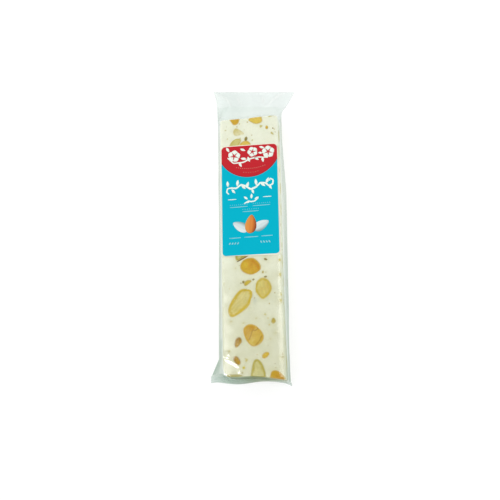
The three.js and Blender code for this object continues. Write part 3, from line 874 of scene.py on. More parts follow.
def almondMaterial(name, roughness, fineDark):
    # blanched or roasted almond: waxy flesh with a fine grain, darker in its cracks
    material = newMaterial(name)
    where = addNode(material, "TexCoord")
    tone = addNode(material, "Attribute", {"attribute_name": "tone"})
    split = addNode(material, "Attribute", {"attribute_name": "split"})
    inCrack = addNode(material, "MapRange", softRange, {"From Min": 0.05, "From Max": 0.45, "To Min": 0.7,
                      "To Max": 0.0}, Value=(split, "Fac"))
    fine = addNode(material, "TexNoise", inputs={"Scale": 1 / (0.9 * mm), "Detail": 4},
                   Vector=(where, "Object"))
    grain = addNode(material, "MapRange", inputs={"From Min": 0.3, "From Max": 0.7, "To Min": fineDark,
                    "To Max": 1.05}, Value=(fine, "Fac"))
    cracked = addNode(material, "Mix", mixColours, {7: linear(crackTone)},
                      _0=(inCrack, "Result"), _6=(tone, "Color"))
    colour = addNode(material, "Mix", multiplyColours, {0: 1.0}, _6=(cracked, 2), _7=(grain, "Result"))
    bump = addNode(material, "Bump", inputs={"Strength": 0.4, "Distance": 0.05 * mm},
                   Height=(grain, "Result"))
    shader = addNode(material, "BsdfPrincipled",
                     inputs={"Roughness": roughness, "Specular IOR Level": 0.15},
                     Base_Color=(colour, 2), Normal=(bump, "Normal"))
    addNode(material, "OutputMaterial", Surface=(shader, "BSDF"))
    return material


almonds = makeAlmonds()
nutHalos()
for piece in almonds:
    piece.data.materials.append(almondMaterial(*almondFinish[piece.name]))

crumb = dict(
    count=230, size=(0.3, 0.95), slimness=(0.5, 1), spread=0.97,
    sides=6, ringShare=[0.7, 1.0, 0.6], ringLift=[0.06, -0.02, -0.3], top=0.08, bottom=-0.4,
    tones=["#B0A062", "#C7B66E", "#9E8C4C", "#D8C87A", "#BFAE6C", "#CFC08A"],
)


def nutCrumbs():
    # crumbs of skin and flesh: squashed little drops pressed into every face, as many as its area asks for
    count = crumb["count"]
    around = np.linspace(0, 2 * np.pi, crumb["sides"], endpoint=False)
    share = np.array(crumb["ringShare"])[:, None]
    lift = np.array(crumb["ringLift"])[:, None]
    unit = stack(share * np.cos(around), share * np.sin(around), lift + 0 * around)
    body, skin = skinRings(unit, (0, 0, crumb["top"]), (0, 0, crumb["bottom"]))
    names = list(boxFaces)
    weights = np.array([np.prod(faceReach(side)) for side in names])
    sides = rng.choice(len(names), count, p=weights / weights.sum())
    tones = [linear(code) for code in crumb["tones"]]
    points, faces, colours = [], [], []
    for k in range(count):
        side = names[sides[k]]
        place = rng.uniform(-crumb["spread"], crumb["spread"], 2) * faceReach(side)
        size = rng.uniform(*crumb["size"]) * np.array([1, rng.uniform(*crumb["slimness"]), 1]) / 2
        drop = body * size
        u, v = turnedBy(drop[:, 0], drop[:, 1], math.degrees(rng.uniform(0, 2 * np.pi)))
        points.append(placeFace(stack(u + place[0], v + place[1], drop[:, 2]), side))
        faces += [f + k * len(body) for f in otherSideOut(skin)]
        colours.append(np.tile(tones[rng.integers(len(tones))], (len(body), 1)))
    attributes = dict(tone=np.concatenate(colours))
    return makePiece("nutCrumbs", np.concatenate(points), faces, attributes=attributes)


def crumbMaterial():
    # crushed almond skin: dull brown and yellow flecks
    material = newMaterial("almondCrumb")
    where = addNode(material, "TexCoord")
    tone = addNode(material, "Attribute", {"attribute_name": "tone"})
    noise = addNode(material, "TexNoise", inputs={"Scale": 1 / (0.5 * mm)}, Vector=(where, "Object"))
    shade = addNode(material, "MapRange", inputs={"To Min": 0.75, "To Max": 1.25}, Value=(noise, "Fac"))
    colour = addNode(material, "Mix", multiplyColours, {0: 1.0}, _6=(tone, "Color"), _7=(shade, "Result"))
    shader = addNode(material, "BsdfPrincipled", inputs={"Roughness": 0.6}, Base_Color=(colour, 2))
    addNode(material, "OutputMaterial", Surface=(shader, "BSDF"))
    return material


crumbPiece = nutCrumbs()
crumbPiece.data.materials.append(crumbMaterial())
print("nuts done")

# film: one tube round the bar, crimped flat at both ends

film = dict(
    top=13.14, back=0.2, foldHeight=6.3, acrossTop=0.7, halfTop=16.5,
    crown=0.7, crownPower=8,           # the front dips towards the long edges, as the bar does
    sideCurve=1.6,                     # power of the side slopes: 2 is straight, 1 a quarter ellipse
    endRound=0.8, roundRunsOut=6.0,    # the front rounds down over both ends of the bar
    sideReach=[                        # along from the bar's middle, left and right fold
        (-53, 19.3, 18.9), (-31, 19.0, 19.3), (26, 18.5, 19.7), (67, 18.6, 18.2)],
    columns=221, sealRows=14, dropRows=10, tentRows=34, shoulderRows=30, endRows=9,
    bodyStep=0.8, coarseFrom=-38, coarseStep=1.9,
    tentLength=11.5, tentLeft=-24.1, tentRight=18.3, tentFoldHeight=4.3,
    sealThickness=0.12, sealEdge=0.03, # two layers, which thin out at the folded edges
    ribs=37, ribHeight=0.035, ribsStart=(0.08, 0.16), ribsEnd=(0.87, 0.95),    # crimp ribs across a seal
    edgeStill=0.06,                    # this much of each half stays put at the side folds
    wave=0.025, waveLength=9.0,        # faint slackness over the front
    sideWave=0.16, sideWaveLength=5.0, sideWaveStretch=3.5, sideWaveRunsOut=6,
    # gathers at the shoulder, whose left lies smooth: height, length, wander and its length, and where
    # they start and end, along from the bar's end and across
    gatherHeight=0.1, gatherLength=5.2, gatherWander=0.8, gatherWanderLength=3.1,
    gatherStart=(1, 6), gatherEnd=(9, 17), gatherFrom=(-13, -6),
    # the front dips just past the bar's end: middle and half width across, middle and width along, depth
    dipMiddle=0.5, dipHalf=15, dipAt=0.27, dipWidth=0.2, dip=0.9,
    foldReach=20, foldRunsOut=0.4,     # a raised fold: how far it may matter, and the share it fades over
)
filmFoldsAndShade = dict(                      # how deep the film's tint goes, and where: partly film gathered in folds, partly painted shade
    low=0.6, high=0.35, lowAt=-60,     # along the sides, at the lower and at the upper end; the lower end's extra depth is painted shade
    across=(0.08, 0.38),
    tent=(1.0, 0.8), tentOver=(66, 78),        # left and right over the lower end
    corner=0.7, cornerOver=(-0.2, 0.7),        # film past the nougat's worn corner
    shoulder=(0.45, 0.2), seal=(0.4, 0.12), sealOver=(-20, 6),         # left and right
    drop=[(-24, 0.6), (-15, 1.1), (-8, 1.1), (3, 1.45), (12, 0.52), (18, 0.42)],     # by x: painted shade of the shaded lower end seen through the film, with the folds there
    freeEdge=0.72, freeEdgeOver=0.6,   # share of those left at the free edge
    creaseClear=0.6,                   # a crease's back is drawn tight, so it is less milky
    paintedEndShadeAt=3, paintedEndShadeHalf=8.5,    # painted shade over the lower end: a yellow-olive tint that stands for the shaded end face
)
upperSeal = dict(
    rootGap=9.2, length=9.5, slope=-0.085, rootLeft=-19.8, rootRight=19.8, edgeLeft=-21.6, edgeRight=25.4,
    flareLeft=1.9, flareRight=0.85, shoulderFlare=(0.8, 3.4), rootHeight=7.0, edgeHeight=5.6,
    ripple=0.4, rippleLength=13.0, rippleLeft=0.4, creaseAtRoot=0.6, creaseAtEdge=0.9, cornerDrop=2.3,
)
lowerSeal = dict(
    rootGap=0.8, rootHeight=7.9, cornerDrop=3.2, cornerBend=1.5, rootLeft=-24.6, rootRight=18.9,
    edgeLeft=-25.4, edgeRight=18.7, edgeHeight=0.32, edgeY=-83.05, edgeSlope=-0.018,
    wave=0.65, waveLength=29.0, waveCrest=-10.5, tipLeft=0.5, tipRight=1.67, tipBend=3,
    belly=0.15, leanAtRoot=0.35, leanAtEdge=0.12,
)
creases = [                   # path over the front in x and y, height and half width of the raised fold
    ([(-21.0, 85.0), (-17.0, 83.2), (-14.0, 80.6), (-12.0, 77.4), (-10.6, 73.0)], 0.34, 0.9),
    ([(24.0, 82.0), (18.0, 81.2), (13.5, 78.0), (10.0, 74.2), (7.6, 71.5)], 0.42, 0.8),
    ([(7.0, 82.0), (7.2, 77.5), (8.6, 73.5)], 0.16, 0.7),
    ([(-8.4, 82.0), (-6.6, 78.0), (-5.0, 75.5)], 0.1, 0.7),
]
puckers = [                   # path over the front, slope of its surface in x and y, rise, half width
    ([(-16.8, -70.6), (-15.6, -69.3), (-14.2, -69.2), (-13.0, -69.9)], 0.186, 0.262, 0.3, 1.2),
    ([(-15.3, -72.2), (-13.0, -72.9), (-11.2, -73.7), (-9.5, -75.0), (-8.3, -76.3), (-7.7, -77.3)],
     0.186, 0.262, 0.16, 0.95),
    ([(-7.7, -77.2), (-7.7, -78.5), (-7.5, -79.4)], 0.186, 0.262, 0.26, 0.8),
    ([(-15.4, -74.6), (-15.2, -79.0)], -0.12, 0.0, 0.05, 1.6),
]


def sheetColumns():
    # places across a sheet from -1 to 1, and how far each is past the part that lies on the bar
    s = np.linspace(-1, 1, film["columns"])
    return s, np.clip((np.abs(s) - film["acrossTop"]) / (1 - film["acrossTop"]), 0, 1)


def tapered(s, share):
    # 1 across a sheet, falling straight to 0 over a share of it at both edges
    return np.clip((1 - np.abs(s)) / share, 0, 1)


def frontHeight(inside):
    # height of the film over the bar: flat, dipping by a high power towards the long edges
    return film["top"] - film["crown"] * np.abs(inside) ** film["crownPower"]


def aroundBar(left, right, foldHeight, yAt):
    # front and back sheets of a section round the bar: along it for the inner columns, then a slope to
    # the side folds along a curve between a straight line and a quarter ellipse
    s, out = sheetColumns()
    inside = np.clip(s / film["acrossTop"], -1, 1)
    edge = bar["x"] + film["halfTop"] * inside
    turn = out * np.pi / 2
    x = edge + (np.where(s < 0, left, right) - edge) * np.sin(turn) ** film["sideCurve"]
    fall = np.clip(np.cos(turn), 0, 1) ** film["sideCurve"]
    y = yAt(x)
    x = x + flareAt(x, y) * fall
    front = stack(x, y, foldHeight + (frontHeight(inside) - foldHeight) * fall)
    back = stack(x, y, foldHeight + (film["back"] - foldHeight) * fall)
    return np.stack([front, back])


def sideReachAt(along):
    # left and right fold beside the bar, with smooth steps between the table's rows
    table = np.array(film["sideReach"], float)
    k = np.clip(np.searchsorted(table[:, 0], along) - 1, 0, len(table) - 2)
    share = smooth(along, table[k, 0], table[k + 1, 0])[:, None]
    return lerp(table[k, 1:], table[k + 1, 1:], share)


def sealSheets(middle, normal, share):
    # two layers crimped together: the middle surface pushed along its normal by the crimp's ribs, with
    # half the thickness to each side that thins to nothing at the folded side edges
    s, _ = sheetColumns()
    low, high = film["ribsEnd"]
    band = smooth(share, *film["ribsStart"]) * smooth(-share, -high, -low)
    ribs = film["ribHeight"] * np.sin(np.pi * film["ribs"] * s) * band
    half = film["sealThickness"] / 2 * tapered(s, film["sealEdge"])
    return np.stack([middle + normal * (ribs + side * half)[..., None] for side in (1, -1)])


def upperSealSheets(share):
    # the loose end's seal flares out, lies askew, ripples, and drops at its corners near the root
    seal = upperSeal
    s, _ = sheetColumns()
    left = lerp(seal["rootLeft"], seal["edgeLeft"], share ** seal["flareLeft"])
    right = lerp(seal["rootRight"], seal["edgeRight"], share ** seal["flareRight"])
    x = lerp(left, right, (s + 1) / 2)
    middle = (seal["edgeLeft"] + seal["edgeRight"]) / 2
    crease = lerp(seal["creaseAtRoot"], seal["creaseAtEdge"], share)
    past = np.clip((np.abs(s) - crease) / (1 - crease), 0, 1)
    y = filmUpperEnd + seal["rootGap"] + seal["length"] * share + seal["slope"] * (x - middle)
    ripple = seal["ripple"] * lerp(1, seal["rippleLeft"], share) * (1 - past)
    z = (lerp(seal["rootHeight"], seal["edgeHeight"], share)
         + ripple * np.cos(2 * np.pi * (x - middle) / seal["rippleLength"])
         - seal["cornerDrop"] * (1 - share) * past)
    return sealSheets(stack(x, y, z), np.array([0.0, 0.0, 1.0]), share)


def lowerSealSheets(share):
    # the tight end's seal is bent down over the bar's end; its free edge is cut square and hangs in waves
    seal = lowerSeal
    s, out = sheetColumns()
    left = lerp(seal["rootLeft"], seal["edgeLeft"], share)
    right = lerp(seal["rootRight"], seal["edgeRight"], share)
    x = lerp(left, right, (s + 1) / 2)
    tip = np.where(s < 0, seal["tipLeft"], seal["tipRight"]) * out ** seal["tipBend"]
    hang = seal["wave"] * np.cos(2 * np.pi * (x - seal["waveCrest"]) / seal["waveLength"])
    edgeY = seal["edgeY"] + seal["edgeSlope"] * x - hang - tip
    y = lerp(lowerEndAt(x) - seal["rootGap"], edgeY, share) - seal["belly"] * np.sin(np.pi * share)
    z = lerp(seal["rootHeight"] - seal["cornerDrop"] * out ** seal["cornerBend"], seal["edgeHeight"], share)
    lean = lerp(seal["leanAtRoot"], seal["leanAtEdge"], share)
    return sealSheets(stack(x, y, z), stack(0 * lean, -np.cos(lean), np.sin(lean)), share)


def pathGap(x, y, path, middle):
    # which points are near a path, and their distances to each place on it
    near = np.hypot(x - middle[0], y - middle[1]) < film["foldReach"]
    return near, np.hypot(x[near][:, None] - path[:, 0], y[near][:, None] - path[:, 1])


def pathRidge(x, y, points, height, width):
    # a raised fold along a path: bell-shaped across, running out at its ends
    path = smoothPath(points)
    near, gap = pathGap(x, y, path, path.mean(axis=0))
    share = gap.argmin(axis=-1) / (len(path) - 1)
    runsOut = smooth(share, 0, film["foldRunsOut"]) * smooth(1 - share, 0, film["foldRunsOut"])
    lift = np.zeros_like(x)
    lift[near] = height * runsOut * ridge(gap.min(axis=-1), width)
    return lift


def pathTilt(x, y, points, slopeX, slopeY, rise, width):
    # a pucker: along a path the surface rises and tilts as one plane, fading out sideways
    path = smoothPath(points)
    middle = path.mean(axis=0)
    near, gap = pathGap(x, y, path, middle)
    plane = rise + slopeX * (x[near] - middle[0]) + slopeY * (y[near] - middle[1])
    lift = np.zeros_like(x)
    lift[near] = np.maximum(plane, 0) * np.exp(-(gap.min(axis=-1) / width) ** 3)
    return lift


def filmSheets():
    # rows of sections from the lower free edge to the upper one: the folded-down seal, its drop from the
    # bar's end, the tent where the side folds spread, the body, the shoulder and the loose seal
    fromEdge = np.linspace(1, 0, film["sealRows"])[:, None]
    lower = lowerSealSheets(fromEdge)
    lowerEdge = aroundBar(film["tentLeft"], film["tentRight"], film["tentFoldHeight"], lowerEndAt)
    fine = np.arange(filmLowerEnd + film["tentLength"], film["coarseFrom"], film["bodyStep"])
    last = filmUpperEnd - 2 * film["endRound"]
    coarse = np.linspace(film["coarseFrom"], last, int((last - film["coarseFrom"]) / film["coarseStep"]))
    y = np.concatenate([fine, coarse[:-1], np.linspace(last, filmUpperEnd, film["endRows"])])[:, None]
    reach = sideReachAt(y[:, 0] - bar["y"])
    left, right = bar["x"] - reach[:, :1], bar["x"] + reach[:, 1:]
    body = aroundBar(left, right, film["foldHeight"], lambda x: y + 0 * x)
    upper = upperSealSheets(fromEdge[::-1])

    drop = np.linspace(0, 1, film["dropRows"])[1:-1, None, None]
    tent = np.linspace(0, 1, film["tentRows"])[:-1, None, None]
    shoulder = np.linspace(0, 1, film["shoulderRows"])[1:-1, None, None]
    spread = shoulder[..., 0] ** lerp(*upperSeal["shoulderFlare"], (sheetColumns()[0] + 1) / 2)
    sheets = []
    for k in (0, 1):
        down = lerp(lower[k][-1], lowerEdge[k], drop)
        over = lerp(lowerEdge[k], body[k][0], tent)
        run = lerp(body[k][-1], upper[k][0], shoulder)
        run[..., 0] = lerp(body[k][-1][:, 0], upper[k][0][:, 0], spread)
        if k == 0:
            # the front falls steeply just past the middle of the bar's end, then runs out flatter
            across = np.clip(1 - ((run[..., 0] - film["dipMiddle"]) / film["dipHalf"]) ** 2, 0, 1)
            run[..., 2] -= film["dip"] * ridge(shoulder[..., 0] - film["dipAt"], film["dipWidth"]) * across
        sheets.append(np.concatenate([lower[k], down, over, body[k], run, upper[k]]))
    return sheets


def filmMarks(front):
    # marks for the material, row by row: which film is sealed, how milky, how gathered together with painted
    # shade, and how much painted shade of the lower end it carries
    x = front[..., 0]
    y = front[..., 1].mean(axis=1)[:, None]
    sealRows, shoulderRows = film["sealRows"], film["sealRows"] + film["shoulderRows"] - 2
    seal = np.zeros(x.shape)
    seal[:sealRows] = 1
    seal[-sealRows:] = 1
    haze = seal.copy()
    haze[-shoulderRows:] = 1
    look = filmFoldsAndShade
    s, out = sheetColumns()
    foldsAndShade = lerp(look["low"], look["high"], smooth(y, look["lowAt"], filmUpperEnd))
    foldsAndShade = lerp(foldsAndShade, np.where(s < 0, *look["tent"]), smooth(-y, *look["tentOver"]))
    foldsAndShade = foldsAndShade * smooth(out, *look["across"])
    past = np.maximum(nougatEndAt(x) - front[..., 1], bar["x"] - bar["width"] / 2 - x)
    atCorner = smooth(past, *look["cornerOver"]) * (x < 0) * (y < look["lowAt"])
    foldsAndShade = np.maximum(foldsAndShade, look["corner"] * atCorner)
    dropRows = sealRows + film["dropRows"] - 1
    fromFree = smooth(np.linspace(0, 1, dropRows)[:, None], 0, look["freeEdgeOver"])
    foldsAndShade[:dropRows] = (np.interp(x[:dropRows], *np.array(look["drop"], float).T)
                        * lerp(look["freeEdge"], 1, fromFree))
    paintedEndShade = np.zeros_like(foldsAndShade)
    paintedEndShade[:dropRows] = ridge(x[:dropRows] - look["paintedEndShadeAt"], look["paintedEndShadeHalf"])
    for rows, strength in ((shoulderRows, look["shoulder"]), (sealRows, look["seal"])):
        foldsAndShade[-rows:] = lerp(*strength, smooth(x[-rows:], *look["sealOver"]))
    return seal, haze, foldsAndShade, paintedEndShade


def sideWaves(sheet, out, loose, seed):
    # long shallow creases on the side slopes, gone past the bar's upper end
    x, y, z = np.moveaxis(sheet, -1, 0)
    side = film["sideWave"] * waves(x, y / film["sideWaveStretch"], z, film["sideWaveLength"], seed)
    side = side * (1 - smooth(y, filmUpperEnd, filmUpperEnd + film["sideWaveRunsOut"]))
    return side * 4 * out * (1 - out) * loose


def filmTube():
    # the two sheets, slackened along their normals: gentle waves on the front, creases on the side slopes,
    # gathers at the shoulder and raised folds along given paths
    front, back = filmSheets()
    seal, haze, foldsAndShade, paintedEndShade = filmMarks(front)
    s, out = sheetColumns()
    radius = film["endRound"]
    loose = 1 - seal
    share = smooth(front[..., 2], film["tentFoldHeight"], film["top"])
    for gap in (front[..., 1] - lowerEndAt(front[..., 0]), filmUpperEnd - front[..., 1]):
        # a quarter circle down over the end, that runs out past it
        into = np.clip(radius - gap, 0, radius) * loose
        past = 1 - smooth(-gap, 0, film["roundRunsOut"])
        front[..., 2] -= (radius - np.sqrt(radius ** 2 - into ** 2)) * share * past
    for sheet in (front, back):
        sheet[..., 1] += upperRise(sheet[..., 0], sheet[..., 1])

    x, y, z = np.moveaxis(front, -1, 0)
    slack = film["wave"] * waves(x, y, z, film["waveLength"], seeds["slack"])
    push = slack * (1 - out) * loose + sideWaves(front, out, loose, seeds["frontSides"])
    for path, height, width in creases:
        lift = pathRidge(x, y, path, height, width)
        push = push + lift
        haze = haze * (1 - filmFoldsAndShade["creaseClear"] * lift / height)
    for pucker in puckers:
        push = push + pathTilt(x, y, *pucker)
    (start, full), (kept, gone) = film["gatherStart"], film["gatherEnd"]
    gather = (smooth(y, filmUpperEnd + start, filmUpperEnd + full)
              * smooth(-y, -(filmUpperEnd + gone), -(filmUpperEnd + kept)) * smooth(x, *film["gatherFrom"]))
    wander = film["gatherWander"] * np.sin(x / film["gatherWanderLength"])
    gathers = np.sin(2 * np.pi * x / film["gatherLength"] + wander)
    push = push + film["gatherHeight"] * gather * gathers * (1 - out)
    front = front + gridNormals(front) * (push * tapered(s, film["edgeStill"]))[..., None]
    back = back - gridNormals(back) * sideWaves(back, out, loose, seeds["backSides"])[..., None]

    points, faces = skinSheets(front, back)
    marks = {name: np.concatenate([each, each[:, -2:0:-1]], axis=1).ravel()
             for name, each in (("haze", haze), ("foldsAndShade", foldsAndShade), ("paintedEndShade", paintedEndShade))}
    return makePiece("clearFilm", points, faces, attributes=marks)


filmLook = dict(
    tintThrough="#FBFCFB", tintSlant="#B0C6B6",     # deeper the more slantwise
    slantFrom=0.1, slantTo=0.9, slantLeast=0.2,
    tintCrimped="#F7FAF9", tintEndShade="#A9B98C",  # of the seals, and of the painted shade over the lower end
    mirror=0.075, mirrorSlant=0.45,                 # share of light mirrored
    roughness=(0.12, 0.19), scuffs=6, fineWaves=2.4,        # sizes in mm
    milk="#F0F6F4", milkOfSeal=0.06,                # crimping whitens the seals
    dullOfSeal=0.4,                                 # and roughens them
)


def filmMaterial():
    # oriented polypropylene film: clear and glossy, greener and darker the more slantwise it is seen and
    # the more it gathers, with painted shade in that tint low on the bar and over its lower end; the crimped
    # seals are slightly milky and dull
    look = filmLook
    material = newMaterial("orientedPolypropyleneFilm")
    where = addNode(material, "TexCoord")
    slant = addNode(material, "LayerWeight", inputs={"Blend": 0.5})
    slantwise = addNode(material, "MapRange", inputs={"From Min": look["slantFrom"],
                        "From Max": look["slantTo"], "To Min": look["slantLeast"]}, Value=(slant, "Facing"))
    # the film's gathering plus painted shade: the tint deepens low on the bar and over its lower end
    foldsAndShade = addNode(material, "Attribute", {"attribute_name": "foldsAndShade"})
    deep = addNode(material, "Math", {"operation": "MULTIPLY", "use_clamp": True},
                   _0=(slantwise, "Result"), _1=(foldsAndShade, "Fac"))
    haze = addNode(material, "Attribute", {"attribute_name": "haze"})
    straight = addNode(material, "Mix", mixColours, {6: linear(look["tintThrough"]),
                       7: linear(look["tintCrimped"])}, _0=(haze, "Fac"))
    paintedEndShade = addNode(material, "Attribute", {"attribute_name": "paintedEndShade"})
    gathered = addNode(material, "Mix", mixColours, {6: linear(look["tintSlant"]),
                       7: linear(look["tintEndShade"])}, _0=(paintedEndShade, "Fac"))
    tinted = addNode(material, "Mix", mixColours, _0=(deep, "Value"), _6=(straight, 2), _7=(gathered, 2))
    through = addNode(material, "BsdfTransparent", Color=(tinted, 2))
    scuff = addNode(material, "TexNoise", inputs={"Scale": 1 / (look["scuffs"] * mm), "Detail": 4},
                    Vector=(where, "Object"))
    least, most = look["roughness"]
    rough = addNode(material, "MapRange", inputs={"From Min": 0.3, "From Max": 0.7, "To Min": least,
                    "To Max": most}, Value=(scuff, "Fac"))
    fineWave = addNode(material, "TexNoise", inputs={"Scale": 1 / (look["fineWaves"] * mm), "Detail": 1},
                       Vector=(where, "Object"))
    bump = addNode(material, "Bump", inputs={"Strength": 0.06, "Distance": 0.1 * mm},
                   Height=(fineWave, "Fac"))
    dull = addNode(material, "Math", productSum, {1: look["dullOfSeal"]},
                   _0=(haze, "Fac"), _2=(rough, "Result"))
    shine = addNode(material, "BsdfGlossy", Roughness=(dull, "Value"), Normal=(bump, "Normal"))
    milk = addNode(material, "BsdfDiffuse", inputs={"Color": linear(look["milk"])})
    milky = addNode(material, "Math", product, {1: look["milkOfSeal"]}, _0=(haze, "Fac"))
    clear = addNode(material, "MixShader", _0=(milky, "Value"), _1=(through, "BSDF"), _2=(milk, "BSDF"))
    # mirrored share: its least, plus the most times the fifth power of the slant
    schlick = addNode(material, "Math", {"operation": "POWER"}, {1: 5.0}, _0=(slant, "Facing"))
    mirror = addNode(material, "Math", productSum, {1: look["mirrorSlant"], 2: look["mirror"]},
                     _0=(schlick, "Value"))
    surface = addNode(material, "MixShader", _0=(mirror, "Value"), _1=(clear, "Shader"), _2=(shine, "BSDF"))
    addNode(material, "OutputMaterial", Surface=(surface, "Shader"))
    return material


filmPiece = filmTube()
filmPiece.data.materials.append(filmMaterial())

# the low left lamp only glints on the film
glossyPieces = bpy.data.collections.new("glossyPieces")
glossyPieces.objects.link(filmPiece)
bpy.data.objects["lowLeftLamp"].light_linking.receiver_collection = glossyPieces
print("film done")

# label: coated paper stuck on the film's front

label = dict(
    x=-0.4, y=16.64, width=32.3, length=64.1, cornerRadius=2.5, thickness=0.16, lift=0.05,
    arcX=-0.65, arcY=47.5, arcRadius=17.9,    # the header's lower edge
    darkEdge=(0.3, 0.55), inkBlur=0.04,       # the header darkens towards that edge
    paperEdge=0.4,                            # unprinted rim
    endSkew=0.4,                              # the lower edge is cut a little askew
    columns=57, columnPower=0.8, cornerRows=10, straightRows=60, edgeSoft=0.03,
    red="#BF2931", darkRed="#A01C1E", cyan="#00B0C8", paper="#F4EFDC",
)


def labelTop(x):
    # the label follows the film's front: its height, plus the gap to it and the paper's thickness
    inside = np.clip((x - bar["x"]) / film["halfTop"], -1, 1)
    return frontHeight(inside) + label["lift"] + label["thickness"]


def labelSheet():
    # rows across: half the width, drawn in by a quarter circle near the two ends for the round corners
    halfW, halfL, radius = label["width"] / 2, label["length"] / 2, label["cornerRadius"]
    turn = np.linspace(0, np.pi / 2, label["cornerRows"])
    ends = halfL - radius + radius * np.cos(turn)
    straight = np.linspace(-(halfL - radius), halfL - radius, label["straightRows"])
    along = np.concatenate([-ends, straight[1:-1], ends[::-1]])[:, None]
    drawn = radius * (1 - np.sin(turn))
    halves = halfW - np.concatenate([drawn, np.zeros(len(straight) - 2), drawn[::-1]])
    s = np.linspace(-1, 1, label["columns"])
    s = np.sign(s) * np.abs(s) ** label["columnPower"]
    x = label["x"] + halves[:, None] * s
    y = label["y"] + along - label["endSkew"] * (x - label["x"]) / halfW * (along < -halfL / 2)
    soft = np.zeros_like(s)
    soft[[0, -1]] = label["edgeSoft"]
    front = stack(x, y, labelTop(x) - soft)
    back = stack(x, y, labelTop(x) - label["thickness"])
    back[:, [0, -1]] = front[:, [0, -1]]
    points, faces = skinSheets(front, back)
    nearX = np.abs(points[:, 0] - label["x"]) - (halfW - radius)
    nearY = np.abs(points[:, 1] - label["y"]) - (halfL - radius)
    rim = radius - np.hypot(np.maximum(nearX, 0), np.maximum(nearY, 0))
    header = label["arcRadius"] - np.hypot(points[:, 0] - label["arcX"], points[:, 1] - label["arcY"])
    return makePiece("labelPaper", points, faces, attributes=dict(rim=rim, header=header))


def labelMaterial():
    # coated paper, offset printed: flat fields of colour under a satin varnish, a thin white cut edge
    look = label
    material = newMaterial("coatedLabelPaper")
    where = addNode(material, "TexCoord")
    header = addNode(material, "Attribute", {"attribute_name": "header"})
    rim = addNode(material, "Attribute", {"attribute_name": "rim"})
    inHeader = addNode(material, "MapRange", inputs={"From Min": -look["inkBlur"],
                       "From Max": look["inkBlur"]}, Value=(header, "Fac"))
    low, high = look["darkEdge"]
    inRed = addNode(material, "MapRange", inputs={"From Min": low, "From Max": high}, Value=(header, "Fac"))
    red = addNode(material, "Mix", mixColours, {6: linear(look["darkRed"]), 7: linear(look["red"])},
                  _0=(inRed, "Result"))
    ink = addNode(material, "Mix", mixColours, {6: linear(look["cyan"])},
                  _0=(inHeader, "Result"), _7=(red, 2))
    inRim = addNode(material, "MapRange", inputs={"From Min": look["paperEdge"] - look["inkBlur"],
                    "From Max": look["paperEdge"] + look["inkBlur"]}, Value=(rim, "Fac"))
    colour = addNode(material, "Mix", mixColours, {6: linear(look["paper"])},
                     _0=(inRim, "Result"), _7=(ink, 2))
    fibre = addNode(material, "TexNoise", inputs={"Scale": 1 / (0.5 * mm), "Detail": 3},
                    Vector=(where, "Object"))
    shade = addNode(material, "MapRange", inputs={"To Min": 0.96, "To Max": 1.04}, Value=(fibre, "Fac"))
    printed = addNode(material, "Mix", multiplyColours, {0: 1.0}, _6=(colour, 2), _7=(shade, "Result"))
    bump = addNode(material, "Bump", inputs={"Strength": 0.08, "Distance": 0.02 * mm}, Height=(fibre, "Fac"))
    shader = addNode(material, "BsdfPrincipled", inputs={"Roughness": 0.4, "Specular IOR Level": 0.05},
                     Base_Color=(printed, 2), Normal=(bump, "Normal"))
    addNode(material, "OutputMaterial", Surface=(shader, "BSDF"))
    return material


# label's print: blossom sprays, a vine, rules and almonds, as thin layers of ink

